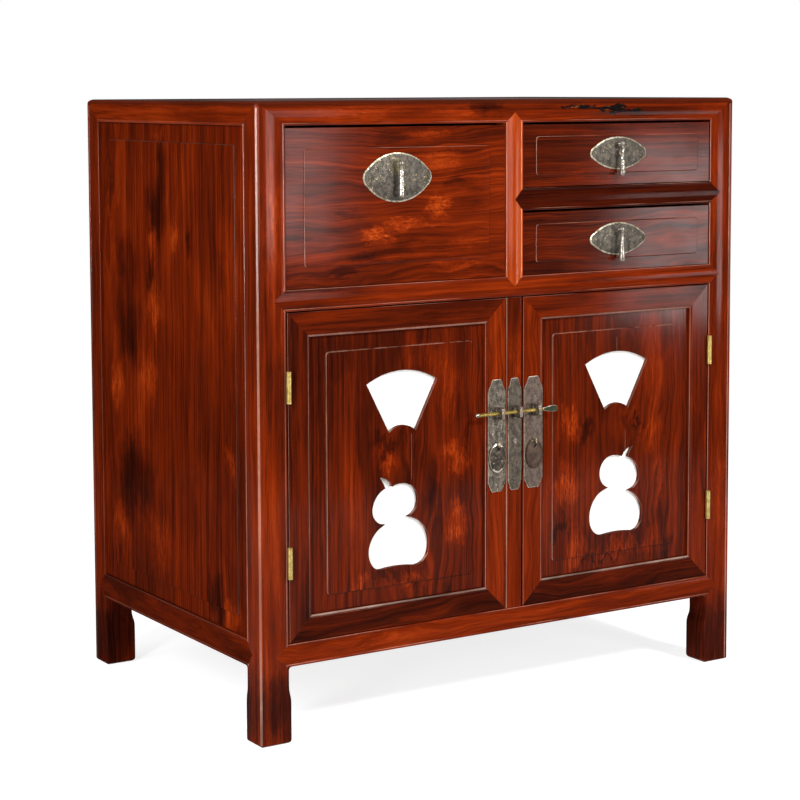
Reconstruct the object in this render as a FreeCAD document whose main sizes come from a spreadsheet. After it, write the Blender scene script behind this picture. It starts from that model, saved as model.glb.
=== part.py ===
import FreeCAD, Part
import math
import os
import Sketcher

# Kang cabinet: a four-post frame with mitred corners, three drawers over two doors
# X runs along the front, the front faces -Y, Z is up and the floor is at zero

# Driving sizes in millimetres
SIZES = {
    # whole cabinet
    "width": 740,
    "depth": 480,
    "height": 780,
    # frame members
    "post_width": 40,
    "post_depth": 35,
    "top_rail_height": 30,
    "rail_depth": 28,
    "middle_rail_height": 26,
    "bottom_rail_height": 28,
    "side_rail_height": 33,
    "leg_height": 95,
    "drawer_bay_height": 196,
    "divider_height": 29,
    "upright_width": 26,
    "upright_depth": 24,
    "upright_offset": 5,
    # pointed shoulders and tenons
    "shoulder_layer": 10,
    "post_shoulder": 18,
    "side_shoulder": 15,
    "tenon_thickness": 9,
    "tenon_setback": 13,
    "tenon_length": 16,
    "tenon_margin": 5,
    "side_tenon_setback": 12,
    "back_tenon_length": 14,
    "post_tenon": 12,
    "post_tenon_inset": 13,
    "post_tenon_height": 22,
    "overrun": 2,
    # beads and worn edges
    "bead_width": 3,
    "bead_depth": 1.2,
    "bead_lip": 1.5,
    "bead_crest": 0.2,
    "corner_bead_width": 5.8,
    "corner_bead_lip": 1,
    "corner_dip": 1.3,
    "edge_round": 8,
    "upright_round": 4,
    # feet
    "foot_swell": 3,
    "foot_swell_top": 50,
    "foot_swell_start": 72,
    "foot_round": 6,
    "leg_fillet": 4,
    # boards in grooves
    "groove_depth": 8,
    "tongue_thickness": 5,
    "tongue_setback": 2,
    "panel_recess": 5,
    "field_rise": 2,
    "field_round": 1.6,
    "field_corner": 5,
    "side_panel_thickness": 10,
    "side_field_margin": 26,
    "side_field_end_margin": 23,
    "top_panel_thickness": 10,
    "top_panel_drop": 1,
    "batten_width": 24,
    "batten_height": 18,
    "batten_spacing": 230,
    "back_panel_thickness": 10,
    "back_panel_inset": 10,
    "bottom_board_thickness": 10,
    "bottom_board_drop": 2,
    "deck_thickness": 10,
    "bearer_width": 24,
    "bearer_height": 18,
    "guide_height": 20,
    "runner_height": 14,
    "runner_width": 14,
    "slide_gap": 0.5,
    "partition_thickness": 20,
    # doors
    "door_frame_width": 31,
    "door_thickness": 20,
    "door_setback": 1,
    "door_edge_round": 0.8,
    "door_quirk": 0.6,
    "hinge_gap": 1.6,
    "meeting_gap": 1.2,
    "sill_gap": 1.2,
    "head_gap": 1.4,
    "door_tongue": 7,
    "door_tongue_thickness": 6,
    "door_panel_thickness": 10,
    "door_tenon_inset": 9,
    "door_tenon_width": 13,
    "door_field_hinge_margin": 24,
    "door_field_meeting_margin": 18,
    "door_field_end_margin": 20,
    "pane_thickness": 3,
    "pane_pocket_depth": 7,
    "pane_pocket_margin": 28,
    "pane_clearance": 0.5,
    "stile_slot": 6,
    "stile_gap": 1,
    # fan and gourd openings, drawn on a door of this height and scaled with it
    "opening_door_height": 402.4,
    "fan_top_half_width": 52,
    "fan_base_half_width": 19.5,
    "fan_height": 62.5,
    "fan_top_bulge": 14.5,
    "fan_base_bulge": 8,
    "fan_lift": 244.3,
    "left_fan_shift": 5,
    "gourd_height": 116,
    "gourd_lift": 125.8,
    "left_gourd_drop": 3,
    # hinges
    "hinge_length": 38.5,
    "upper_hinge_inset": 89.6,
    "lower_hinge_inset": 98.8,
    "barrel_radius": 3.2,
    "hinge_pin_radius": 1.5,
    "hinge_pin_clearance": 0.05,
    "hinge_axis_reach": 2.5,
    "hinge_leaf_thickness": 1.2,
    "hinge_leaf_width": 18,
    "hinge_leaf_clearance": 0.15,
    "knuckle_gap": 0.2,
    "barrel_clearance": 0.5,
    # drawers
    "drawer_setback": 2.5,
    "drawer_front_thickness": 20,
    "drawer_side_gap": 1,
    "drawer_top_gap": 3,
    "drawer_bottom_gap": 0.8,
    "drawer_seat_gap": 0.3,
    "drawer_back_gap": 30,
    "drawer_side_thickness": 10,
    "drawer_side_drop": 14,
    "drawer_bottom_thickness": 6,
    "drawer_bottom_lift": 8,
    "drawer_groove": 4,
    "drawer_dovetail": 12,
    "drawer_field_rise": 1.5,
    "drawer_field_round": 1.2,
    "wide_field_margin": 25,
    "small_field_margin": 20,
    "small_field_end_margin": 15,
    # drawer pulls
    "plate_thickness": 1.2,
    "wide_plate_width": 100,
    "wide_plate_height": 61,
    "wide_plate_lift": 33,
    "wide_plate_shift": 3,
    "wide_staple_lift": 17.5,
    "small_plate_width": 93,
    "small_plate_height": 43,
    "small_plate_shift": 2,
    "small_staple_lift": 12.5,
    "plate_pin_radius": 1.2,
    "plate_pin_head": 0.8,
    "plate_pin_length": 8,
    "staple_wire_radius": 1,
    "staple_half_span": 5.4,
    "staple_reach": 8,
    "staple_embed": 12,
    "washer_radius": 9,
    "washer_thickness": 0.8,
    "drop_ball_radius": 3.8,
    "drop_bore_radius": 1.4,
    "drop_collar_radius": 3.3,
    "wide_drop_stem_radius": 2.6,
    "wide_drop_tip_radius": 3.1,
    "small_drop_stem_radius": 2,
    "small_drop_tip_radius": 4,
    "drop_length": 42,
    # lock plates, lugs and rod
    "lock_plate_height": 145,
    "lock_plate_lift": 25.1,
    "left_lock_plate_width": 27,
    "centre_lock_plate_width": 21,
    "right_lock_plate_width": 29,
    "left_lock_plate_shift": 1.5,
    "lug_width": 4.5,
    "lug_reach": 14.5,
    "lug_height": 15.5,
    "lug_corner_radius": 3.2,
    "lug_slot_width": 8.2,
    "lug_slot_height": 11.5,
    "lug_tang_height": 6,
    "lug_tang_length": 16,
    "lug_lift": 30,
    "rod_reach": 8,
    "rod_radius": 2.3,
    "rod_left": 59,
    "rod_right": 42,
    "rod_ball_radius": 3.4,
    "leaf_length": 25,
    "leaf_height": 8.6,
    "leaf_thickness": 1.4,
    "rivet_drop": 9,
    "rivet_radius": 3.5,
    "rivet_thickness": 1.2,
    # hanging door pulls
    "pull_width": 26,
    "pull_height": 38,
    "pull_thickness": 1.8,
    "pull_axis_drop": 11,
    "pull_gap": 1.1,
    "pull_bridge": 3,
    "pull_slot_width": 5,
    "pull_slot_height": 7,
    "pull_wire_radius": 0.9,
    "pull_staple_half_span": 3.2,
    "pull_staple_reach": 4.6,
}

# How far a quarter circle's middle lies from its square corner, over its radius
ROUND_SHARE = 1 - math.sqrt(1 / 2)

# How full the foot's swell still is a quarter of the way up its curve
SWELL_SHARE = 0.88

# Where a drop's ball meets its neck, as shares of the ball's radius: 32 degrees off its lowest point
NECK_ACROSS_SHARE = math.sin(math.radians(32))
NECK_DOWN_SHARE = math.cos(math.radians(32))

# Gourd opening as shares of its height: u runs towards the hinge side, w up
GOURD_SHARES = [
    ((-0.208, 0.190), (-0.235, 0.300)),
    ((-0.150, 0.452), (-0.015, 0.484)),
    ((0.040, 0.478), (0.089, 0.459)),
    ((0.132, 0.522), (0.242, 0.572)),
    ((0.200, 0.508), (0.172, 0.450)),
    ((0.283, 0.368), (0.336, 0.250)),
    ((0.300, 0.115), (0.174, 0.058)),
    ((0.296, -0.020), (0.372, -0.140)),
    ((0.385, -0.265), (0.342, -0.372)),
    ((0.296, -0.412), (0.235, -0.424)),
    ((0.030, -0.409), (-0.170, -0.424)),
    ((-0.300, -0.392), (-0.366, -0.300)),
    ((-0.366, -0.110), (-0.100, 0.115)),
]

# Drawer plate as shares of its half width and half height: a pointed oval
OVAL_PLATE_SHARES = [
    ((0.0, 1.0), (0.88, 0.36)),
    ((1.0, 0.0), (0.88, -0.36)),
    ((0.0, -1.0), (-0.88, -0.36)),
    ((-1.0, 0.0), (-0.88, 0.36)),
]

# Right half of a lock plate's cusped ends, as shares of its half width and its half height
LOCK_PLATE_TOP_SHARES = [
    ((0.56, 1.0),),
    ((0.73, 0.96), (0.76, 0.89)),
    ((0.937, 0.833), (1.0, 0.77)),
]
LOCK_PLATE_FOOT_SHARES = [
    ((1.0, -0.87),),
    ((0.86, -0.91), (0.76, -0.93)),
    ((0.72, -0.98), (0.56, -1.0)),
]

# Leaf-shaped end of the rod, as shares of its length and height
LEAF_SHARES = [
    ((0.0, 0.14),),
    ((0.4, 0.30), (0.75, 0.46)),
    ((0.94, 0.40), (1.0, 0.02)),
    ((0.99, -0.40), (0.90, -0.52)),
    ((0.5, -0.46), (0.0, -0.16)),
]


class Size:
    """A size that carries its value and the sheet formula that gives it."""

    def __init__(self, value, formula):
        self.value = value
        self.formula = formula

    def __add__(self, other):
        other = as_size(other)
        return Size(self.value + other.value, f"({self.formula} + {other.formula})")

    def __radd__(self, other):
        return as_size(other) + self

    def __sub__(self, other):
        other = as_size(other)
        return Size(self.value - other.value, f"({self.formula} - {other.formula})")

    def __rsub__(self, other):
        return as_size(other) - self

    def __mul__(self, other):
        other = as_size(other)
        return Size(self.value * other.value, f"({self.formula} * {other.formula})")

    def __rmul__(self, other):
        return as_size(other) * self

    def __truediv__(self, other):
        other = as_size(other)
        return Size(self.value / other.value, f"({self.formula} / {other.formula})")

    def __neg__(self):
        return Size(-self.value, f"(-{self.formula})")


def as_size(item):
    return item if isinstance(item, Size) else Size(float(item), f"({float(item)})")


class NamedSizes:
    """The sheet's sizes, by name."""


doc = FreeCAD.newDocument("kang_cabinet")
sheet = doc.addObject("Spreadsheet::Sheet", "Sizes")
for row, (alias, number) in enumerate(SIZES.items(), start=1):
    sheet.set(f"A{row}", alias)
    sheet.set(f"B{row}", str(number))
    sheet.setAlias(f"B{row}", alias)
doc.recompute()
size = NamedSizes()
for alias in SIZES:
    setattr(size, alias, Size(float(sheet.get(alias)), f"Sizes.{alias}"))
ZERO = Size(0.0, "0")

# Finished pieces by node name, unfinished pieces, and what is cut from each
nodes = {}
blanks = {}
cutters = {}


def span(one, other):
    """The two places in rising order."""
    return (one, other) if one.value <= other.value else (other, one)


def about(centre, breadth):
    """A span of that breadth about a centre."""
    return (centre - breadth / 2, centre + breadth / 2)


def place(feature, x, y, z):
    for axis, position in zip("xyz", (x, y, z)):
        feature.setExpression(f"Placement.Base.{axis}", as_size(position).formula)


def block(name, x, y, z):
    """A box between three spans."""
    box = doc.addObject("Part::Box", name)
    for side, (low, high) in zip(("Length", "Width", "Height"), (x, y, z)):
        box.setExpression(side, (high - low).formula)
    place(box, x[0], y[0], z[0])
    return box


TURNS = {
    "x": FreeCAD.Rotation(FreeCAD.Vector(0, 1, 0), 90),
    "y": FreeCAD.Rotation(FreeCAD.Vector(1, 0, 0), -90),
    "z": FreeCAD.Rotation(),
}


def bar(name, axis, start, length, radius):
    """A round bar from a start point along an axis."""
    cylinder = doc.addObject("Part::Cylinder", name)
    cylinder.Placement = FreeCAD.Placement(FreeCAD.Vector(), TURNS[axis])
    cylinder.setExpression("Radius", radius.formula)
    cylinder.setExpression("Height", length.formula)
    place(cylinder, *start)
    return cylinder


def ball(name, centre, radius):
    sphere = doc.addObject("Part::Sphere", name)
    sphere.setExpression("Radius", radius.formula)
    place(sphere, *centre)
    return sphere


def join(name, *features):
    fused = doc.addObject("Part::MultiFuse", name)
    fused.Shapes = list(features)
    return fused


def overlap(name, *features):
    common = doc.addObject("Part::MultiCommon", name)
    common.Shapes = list(features)
    return common


def remove(name, base, *tools):
    cut = doc.addObject("Part::Cut", name)
    cut.Base = base
    cut.Tool = tools[0] if len(tools) == 1 else join(f"{name}_cutters", *tools)
    return cut


def group(name, *features):
    compound = doc.addObject("Part::Compound", name)
    compound.Links = list(features)
    return compound


def vector(point):
    return FreeCAD.Vector(point[0].value, point[1].value, 0)


def turns_left(start, middle, end):
    before, after = middle - start, end - middle
    return before.x * after.y - before.y * after.x > 0


def outline(body, name, plane, path):
    """A closed outline. Each step of the path holds the end of a line, or the middle and end of an arc."""
    sketch = body.newObject("Sketcher::SketchObject", name)
    base = [part for part in body.Origin.OriginFeatures if part.Role == plane][0]
    sketch.AttachmentSupport = [(base, "")]
    sketch.MapMode = "FlatFace"
    path = [tuple(tuple(as_size(number) for number in point) for point in step) for step in path]
    edges, ends = [], []
    for index, step in enumerate(path):
        start, end = vector(path[index - 1][-1]), vector(step[-1])
        if len(step) == 1:
            edges.append(Part.LineSegment(start, end))
            ends.append((1, 2))
        elif turns_left(start, vector(step[0]), end):
            edges.append(Part.Arc(start, vector(step[0]), end))
            ends.append((1, 2))
        else:
            edges.append(Part.Arc(end, vector(step[0]), start))
            ends.append((2, 1))
    sketch.addGeometry(edges, False)
    rules, formulas = [], []

    def pin_point(geometry, corner, point):
        for kind, number in zip(("DistanceX", "DistanceY"), point):
            formulas.append((len(rules), number.formula))
            rules.append(Sketcher.Constraint(kind, -1, 1, geometry, corner, number.value))

    for index, step in enumerate(path):
        before = (index - 1) % len(path)
        rules.append(Sketcher.Constraint("Coincident", before, ends[before][1], index, ends[index][0]))
        pin_point(index, ends[index][1], step[-1])
    for index, step in enumerate(path):
        if len(step) == 2:
            middle = sketch.addGeometry(Part.Point(vector(step[0])), True)
            pin_point(middle, 1, step[0])
            rules.append(Sketcher.Constraint("PointOnObject", middle, 1, index))
    sketch.addConstraint(rules)
    for index, formula in formulas:
        sketch.setExpression(f"Constraints[{index}]", formula)
    return sketch


FRONT, SIDE, TOP = "XZ_Plane", "YZ_Plane", "XY_Plane"


def pad(body, sketch, depth, backwards=False):
    feature = body.newObject("PartDesign::Pad", f"{sketch.Name}_pad")
    feature.Profile = sketch
    feature.Reversed = backwards
    feature.setExpression("Length", depth.formula)
    return feature


def prism(name, plane, path, start, depth):
    """An outline drawn on a plane and carried along +X, +Y or +Z from a start by a depth."""
    body = doc.addObject("PartDesign::Body", name)
    pad(body, outline(body, f"{name}_outline", plane, path), depth, plane == FRONT)
    place(body, *[start if plane == wanted else ZERO for wanted in (SIDE, FRONT, TOP)])
    return body


def polygon(*points):
    return [(point,) for point in points]


def rectangle(across, up):
    return polygon((across[0], up[0]), (across[1], up[0]), (across[1], up[1]), (across[0], up[1]))


def rounded(across, up, radius):
    """A rectangle with round corners."""
    (left, right), (low, high), near = across, up, radius * ROUND_SHARE
    return [
        ((right - radius, low),),
        ((right - near, low + near), (right, low + radius)),
        ((right, high - radius),),
        ((right - near, high - near), (right - radius, high)),
        ((left + radius, high),),
        ((left + near, high - near), (left, high - radius)),
        ((left, low + radius),),
        ((left + near, low + near), (left + radius, low)),
    ]


def mapped(path, change):
    return [tuple(change(*point) for point in step) for step in path]


def edge_steps(kind):
    """The steps from a member's edge onto its face, as (distance in from the edge, depth below the face)."""
    if kind == "bead":
        bead = size.bead_width
        return [((ZERO, size.bead_lip),), ((bead / 2, size.bead_crest), (bead, size.bead_depth))]
    if kind == "corner":
        bead = size.corner_bead_width
        return [((ZERO, size.corner_bead_lip),), ((bead / 2, ZERO), (bead, size.bead_depth))]
    radius = size.upright_round if kind == "round" else size.door_edge_round
    near = radius * ROUND_SHARE
    return [((ZERO, radius),), ((near, near), (radius, ZERO))]


def face_section(breadth, depth, first, last):
    """A member's cross-section: the moulded face at depth zero, u from the first edge to the last."""
    rising = edge_steps(first)
    falling = edge_steps(last)
    path = [((ZERO, depth),)] + rising
    face_end = falling[1][1]
    if first == last:
        path.append(((breadth / 2, ZERO), (breadth - face_end[0], face_end[1])) if first == "bead" else None)
        path = [step for step in path if step]
        if first != "bead":
            path.append(((breadth - face_end[0], face_end[1]),))
    elif first == "corner":
        path.append(((breadth / 2, ZERO), (breadth - face_end[0], face_end[1])))
    else:
        path.append(((breadth - face_end[0] - size.door_quirk, ZERO),))
        path.append(((breadth - face_end[0], face_end[1]),))
    middle = falling[1][0]
    edge = falling[0][0]
    path.append(((breadth - middle[0], middle[1]), (breadth - edge[0], edge[1])))
    path.append(((breadth, depth),))
    return path


# Main places of the frame
reach = size.lug_reach + size.plate_thickness - size.door_setback
front = (reach - size.depth) / 2
back = front + size.depth
half = size.width / 2
inner = half - size.post_width
side_front = front + size.post_depth
side_back = back - size.post_depth
rail_top = size.leg_height + size.bottom_rail_height
side_rail_top = size.leg_height + size.side_rail_height
head = size.height - size.top_rail_height
bay_floor = head - size.drawer_bay_height
door_head = bay_floor - size.middle_rail_height
door_z = (rail_top + size.sill_gap, door_head - size.head_gap)
opening_scale = (door_z[1] - door_z[0]) / size.opening_door_height
lock_level = (door_z[0] + door_z[1]) / 2 + size.lock_plate_lift
rod_level = lock_level + size.lug_lift
rivet_level = lock_level - size.rivet_drop
pull_level = lock_level - size.pull_axis_drop
divider_centre = bay_floor + size.drawer_bay_height / 2
upright = about(size.upright_offset, size.upright_width)
layer = (front - size.overrun, front + size.shoulder_layer)

# The outer shape with worn top edges, which the corner pieces are held to
envelope = doc.addObject("PartDesign::Body", "envelope")
outer_box = envelope.newObject("PartDesign::AdditiveBox", "outer_box")
for side, length in (("Length", size.width), ("Width", size.depth), ("Height", size.height)):
    outer_box.setExpression(side, length.formula)
place(envelope, -half, front, ZERO)
doc.recompute()


def edges_at(shape, axis, level):
    """The names of the edges whose ends all lie at a level along an axis."""
    found = []
    for index, edge in enumerate(shape.Edges, start=1):
        if all(abs(getattr(vertex.Point, axis) - level) < 1e-6 for vertex in edge.Vertexes):
            found.append(f"Edge{index}")
    return found


worn = envelope.newObject("PartDesign::Fillet", "worn_edges")
worn.Base = (outer_box, edges_at(outer_box.Shape, "z", outer_box.Shape.BoundBox.ZMax))
worn.setExpression("Radius", size.edge_round.formula)


def post_section(leg):
    """A post's cross-section from its outer corner: a along the front, b along the side."""
    wide, deep = size.post_width, size.post_depth
    valley, corner, dip = size.bead_depth, size.corner_bead_width, size.corner_dip
    bead, crest, lip = size.bead_width, size.bead_crest, size.bead_lip
    faces = [
        ((ZERO, deep / 2), (valley, corner)),
        ((ZERO, corner / 2), (dip, dip)),
        ((corner / 2, ZERO), (corner, valley)),
        ((wide / 2, ZERO), (wide - bead, valley)),
    ]
    if leg:
        wide, deep = wide + size.foot_swell + size.leg_fillet, deep + size.foot_swell + size.leg_fillet
        start = [((wide, deep),), ((valley, deep),), ((valley, size.post_depth - bead),)]
        return start + faces + [((wide, valley),)]
    start = [((wide, deep),), ((lip, deep),), ((crest, deep - bead / 2), (valley, deep - bead))]
    return start + faces + [((wide - bead / 2, crest), (wide, lip))]


def leg_outline(breadth):
    """A leg seen square on: straight outer edge, inner edge that swells to the foot."""
    swell, top, round_off = size.foot_swell, size.leg_height, size.foot_round
    near, fillet = round_off * ROUND_SHARE, size.leg_fillet
    low, high = size.foot_swell_top, size.foot_swell_start
    return [
        ((breadth + swell - round_off, ZERO),),
        ((breadth + swell - near, near), (breadth + swell, round_off)),
        ((breadth + swell, low),),
        ((breadth + swell * SWELL_SHARE, (low * 3 + high) / 4), (breadth + swell / 2, (low + high) / 2)),
        ((breadth + swell * (1 - SWELL_SHARE), (low + high * 3) / 4), (breadth, high)),
        ((breadth, top - fillet),),
        ((breadth + fillet * ROUND_SHARE, top - fillet * ROUND_SHARE), (breadth + fillet, top)),
        ((ZERO, top),),
        ((ZERO, round_off),),
        ((near, near), (round_off, ZERO)),
    ]


def make_post(name, side, facing):
    """One post. side is -1 at the left and 1 at the right, facing is -1 at the front and 1 at the back."""
    edge_x, edge_y = half * side, (front if facing < 0 else back)

    def along_x(a):
        return edge_x - a * side

    def along_y(b):
        return edge_y - b * facing

    def plan(a, b):
        return (along_x(a), along_y(b))

    wide, deep, high = size.post_width, size.post_depth, size.height
    x_run, y_run = span(along_x(ZERO), along_x(wide)), span(along_y(ZERO), along_y(deep))
    shaft_section = mapped(post_section(False), plan)
    shaft = prism(f"{name}_shaft", TOP, shaft_section, size.leg_height, high - size.leg_height)
    from_front = polygon(
        (along_x(ZERO), size.leg_height),
        (along_x(wide), size.leg_height),
        (along_x(wide), head),
        (along_x(ZERO), high),
    )
    from_side = polygon(
        (along_y(ZERO), size.leg_height),
        (along_y(deep), size.leg_height),
        (along_y(deep), head),
        (along_y(ZERO), high),
    )
    upper = overlap(
        f"{name}_upper",
        shaft,
        prism(f"{name}_front_mitre", FRONT, from_front, y_run[0], y_run[1] - y_run[0]),
        prism(f"{name}_side_mitre", SIDE, from_side, x_run[0], x_run[1] - x_run[0]),
        envelope,
    )
    grown = size.foot_swell + size.leg_fillet
    x_leg, y_leg = span(along_x(ZERO), along_x(wide + grown)), span(along_y(ZERO), along_y(deep + grown))
    leg = overlap(
        f"{name}_leg",
        prism(f"{name}_leg_core", TOP, mapped(post_section(True), plan), ZERO, size.leg_height),
        prism(
            f"{name}_leg_front",
            FRONT,
            mapped(leg_outline(wide), lambda a, z: (along_x(a), z)),
            y_leg[0],
            y_leg[1] - y_leg[0],
        ),
        prism(
            f"{name}_leg_side",
            SIDE,
            mapped(leg_outline(deep), lambda b, z: (along_y(b), z)),
            x_leg[0],
            x_leg[1] - x_leg[0],
        ),
    )
    inset, thick = size.post_tenon_inset, size.post_tenon
    tenon = block(
        f"{name}_top_tenon",
        span(along_x(inset), along_x(inset + thick)),
        span(along_y(inset), along_y(inset + thick)),
        (head - size.overrun, head + size.post_tenon_height),
    )
    blanks[name] = join(f"{name}_blank", upper, leg, tenon)
    cutters[name] = []
    return tenon


def make_top_rail(name, along_front, sign):
    """One top rail with mitred ends: along the front or back, or along a side."""
    wide, deep, high, tall = size.post_width, size.post_depth, size.height, size.top_rail_height
    if along_front:
        edge = front if sign < 0 else back
        section = mapped(face_section(tall, deep, "corner", "bead"), lambda u, v: (edge - v * sign, high - u))
        run = prism(f"{name}_run", SIDE, section, -half, size.width)
        face = polygon((-half, high), (half, high), (inner, head), (-inner, head))
        plan = polygon((-half, edge), (half, edge), (inner, edge - deep * sign), (-inner, edge - deep * sign))
        low, high_y = span(edge, edge - deep * sign)
        mitre = prism(f"{name}_face_mitre", FRONT, face, low, high_y - low)
    else:
        edge = half * sign
        section = mapped(face_section(tall, wide, "corner", "bead"), lambda u, v: (edge - v * sign, high - u))
        run = prism(f"{name}_run", FRONT, section, front, size.depth)
        face = polygon((front, high), (back, high), (side_back, head), (side_front, head))
        inner_edge = edge - wide * sign
        plan = polygon((edge, front), (edge, back), (inner_edge, side_back), (inner_edge, side_front))
        low, high_x = span(edge, edge - wide * sign)
        mitre = prism(f"{name}_face_mitre", SIDE, face, low, high_x - low)
    flat = prism(f"{name}_plan_mitre", TOP, plan, head, tall)
    blanks[name] = overlap(f"{name}_blank", run, mitre, flat, envelope)
    cutters[name] = []


def shoulder(name, plane, across, up, point, start, depth, ends=(True, True), lengthwise=True):
    """A bar's outline with pointed ends, which both shapes its front layer and notches what it meets."""
    (left, right), (low, high) = across, up
    if lengthwise:
        middle = (low + high) / 2
        tips = [(left - point[0], middle)] * ends[0], [(right + point[1], middle)] * ends[1]
        corners = [(left, low), (right, low), *tips[1], (right, high), (left, high), *tips[0]]
    else:
        middle = (left + right) / 2
        tips = [(middle, low - point[0])] * ends[0], [(middle, high + point[1])] * ends[1]
        corners = [(left, low), *tips[0], (right, low), (right, high), *tips[1], (left, high)]
    return prism(name, plane, polygon(*corners), start, depth)


def pointed_rail(name, up, ends, depth_size, points):
    """A rail along X with pointed shoulders in its front layer and a tenon at each end."""
    low, high = up
    left, right = ends
    section = mapped(face_section(high - low, depth_size, "bead", "bead"), lambda u, v: (front + v, low + u))
    start = left - points[0]
    run = prism(f"{name}_run", SIDE, section, start, right + points[1] - start)
    pointed = shoulder(f"{name}_points", FRONT, ends, up, points, layer[0], layer[1] - layer[0])
    square = block(f"{name}_square", ends, (layer[0], front + depth_size), up)
    form = overlap(f"{name}_form", run, join(f"{name}_limits", pointed, square))
    deep = span(front + size.tenon_setback, front + size.tenon_setback + size.tenon_thickness)
    tall = (low + size.tenon_margin, high - size.tenon_margin)
    long_in = (size.tenon_length, size.tenon_length)
    if points[0].value < points[1].value:
        long_in = (size.upright_width / 3, size.tenon_length)
    tenons = block(f"{name}_tenons", (left - long_in[0], right + long_in[1]), deep, tall)
    blanks[name] = join(f"{name}_blank", form, tenons)
    cutters[name] = []
    return [pointed, tenons]


# Posts and top frame
tenons = {}
for post, side, facing in (
    ("front_left_post", -1, -1),
    ("front_right_post", 1, -1),
    ("back_left_post", -1, 1),
    ("back_right_post", 1, 1),
):
    tenons[post] = make_post(post, side, facing)
make_top_rail("top_front_rail", True, -1)
make_top_rail("top_back_rail", True, 1)
make_top_rail("top_left_rail", False, -1)
make_top_rail("top_right_rail", False, 1)
for rail in ("top_front_rail", "top_back_rail", "top_left_rail", "top_right_rail"):
    cutters[rail] += [tenon for post, tenon in tenons.items() if rail.split("_")[1] in post]

# Middle and bottom rails across the front
across_front = (-inner, inner)
post_points = (size.post_shoulder, size.post_shoulder)
for rail, up in (
    ("middle_rail", (door_head, bay_floor)),
    ("bottom_front_rail", (size.leg_height, rail_top)),
):
    notches = pointed_rail(rail, up, across_front, size.rail_depth, post_points)
    cutters["front_left_post"] += notches
    cutters["front_right_post"] += notches

# Bottom rails at the sides, in one node, and at the back
side_rails = []
side_up = (size.leg_height, side_rail_top)
for side, word in ((-1, "left"), (1, "right")):
    name = f"bottom_{word}_rail"
    edge = half * side
    section = mapped(
        face_section(size.side_rail_height, size.rail_depth, "bead", "bead"),
        lambda u, v: (edge - v * side, size.leg_height + u),
    )
    run = prism(
        f"{name}_run",
        FRONT,
        section,
        side_front - size.side_shoulder,
        side_back - side_front + size.side_shoulder * 2,
    )
    skin = span(edge + size.overrun * side, edge - size.shoulder_layer * side)
    points = (size.side_shoulder, size.side_shoulder)
    ends = (side_front, side_back)
    pointed = shoulder(f"{name}_points", SIDE, ends, side_up, points, skin[0], skin[1] - skin[0])
    body_x = span(edge + size.overrun * side, edge - size.rail_depth * side)
    square = block(f"{name}_square", body_x, (side_front, side_back), side_up)
    form = overlap(f"{name}_form", run, join(f"{name}_limits", pointed, square))
    thick = span(
        edge - size.side_tenon_setback * side,
        edge - (size.side_tenon_setback + size.tenon_thickness) * side,
    )
    long_y = (side_front - size.tenon_length, side_back + size.tenon_length)
    tall = (side_up[0] + size.tenon_margin, side_up[1] - size.tenon_margin)
    tenon = block(f"{name}_tenons", thick, long_y, tall)
    side_rails.append(join(f"{name}_blank", form, tenon))
    cutters[f"front_{word}_post"] += [pointed, tenon]
    cutters[f"back_{word}_post"] += [pointed, tenon]
blanks["bottom_side_rails"] = group("bottom_side_rails_blank", *side_rails)
cutters["bottom_side_rails"] = []

back_up = (size.leg_height, side_rail_top)
back_rail = block("bottom_back_rail_bar", across_front, (back - size.rail_depth, back), back_up)
back_tenon = block(
    "bottom_back_rail_tenons",
    (-inner - size.back_tenon_length, inner + size.back_tenon_length),
    span(back - size.tenon_setback, back - size.tenon_setback - size.tenon_thickness),
    (back_up[0] + size.tenon_margin, back_up[1] - size.tenon_margin),
)
blanks["bottom_back_rail"] = join("bottom_back_rail_blank", back_rail, back_tenon)
cutters["bottom_back_rail"] = []
for post in ("back_left_post", "back_right_post"):
    cutters[post].append(back_tenon)

# Upright between the drawers
point = size.upright_width / 2
upright_section = mapped(
    face_section(size.upright_width, size.upright_depth, "bead", "bead"),
    lambda u, v: (upright[0] + u, front + v),
)
upright_length = head - bay_floor + point * 2
upright_run = prism("drawer_upright_run", TOP, upright_section, bay_floor - point, upright_length)
upright_points = shoulder(
    "drawer_upright_points",
    FRONT,
    upright,
    (bay_floor, head),
    (point, point),
    layer[0],
    layer[1] - layer[0],
    lengthwise=False,
)
upright_square = block(
    "drawer_upright_square",
    upright,
    (layer[0], front + size.upright_depth),
    (bay_floor, head),
)
upright_form = overlap(
    "drawer_upright_form",
    upright_run,
    join("drawer_upright_limits", upright_points, upright_square),
)
upright_tenon = block(
    "drawer_upright_tenons",
    (upright[0] + size.tenon_margin, upright[1] - size.tenon_margin),
    (front + size.tenon_setback, front + size.tenon_setback + size.tenon_thickness),
    (bay_floor - size.groove_depth, head + size.groove_depth),
)
blanks["drawer_upright"] = join("drawer_upright_blank", upright_form, upright_tenon)
cutters["drawer_upright"] = []
cutters["middle_rail"] += [upright_points, upright_tenon]
cutters["top_front_rail"] += [upright_points, upright_tenon]

# Divider between the two small drawers
divider_up = about(divider_centre, size.divider_height)
divider_notches = pointed_rail(
    "drawer_divider",
    divider_up,
    (upright[1], inner),
    size.upright_depth,
    (point, size.post_shoulder),
)
cutters["drawer_upright"] += divider_notches
cutters["front_right_post"] += divider_notches

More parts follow.
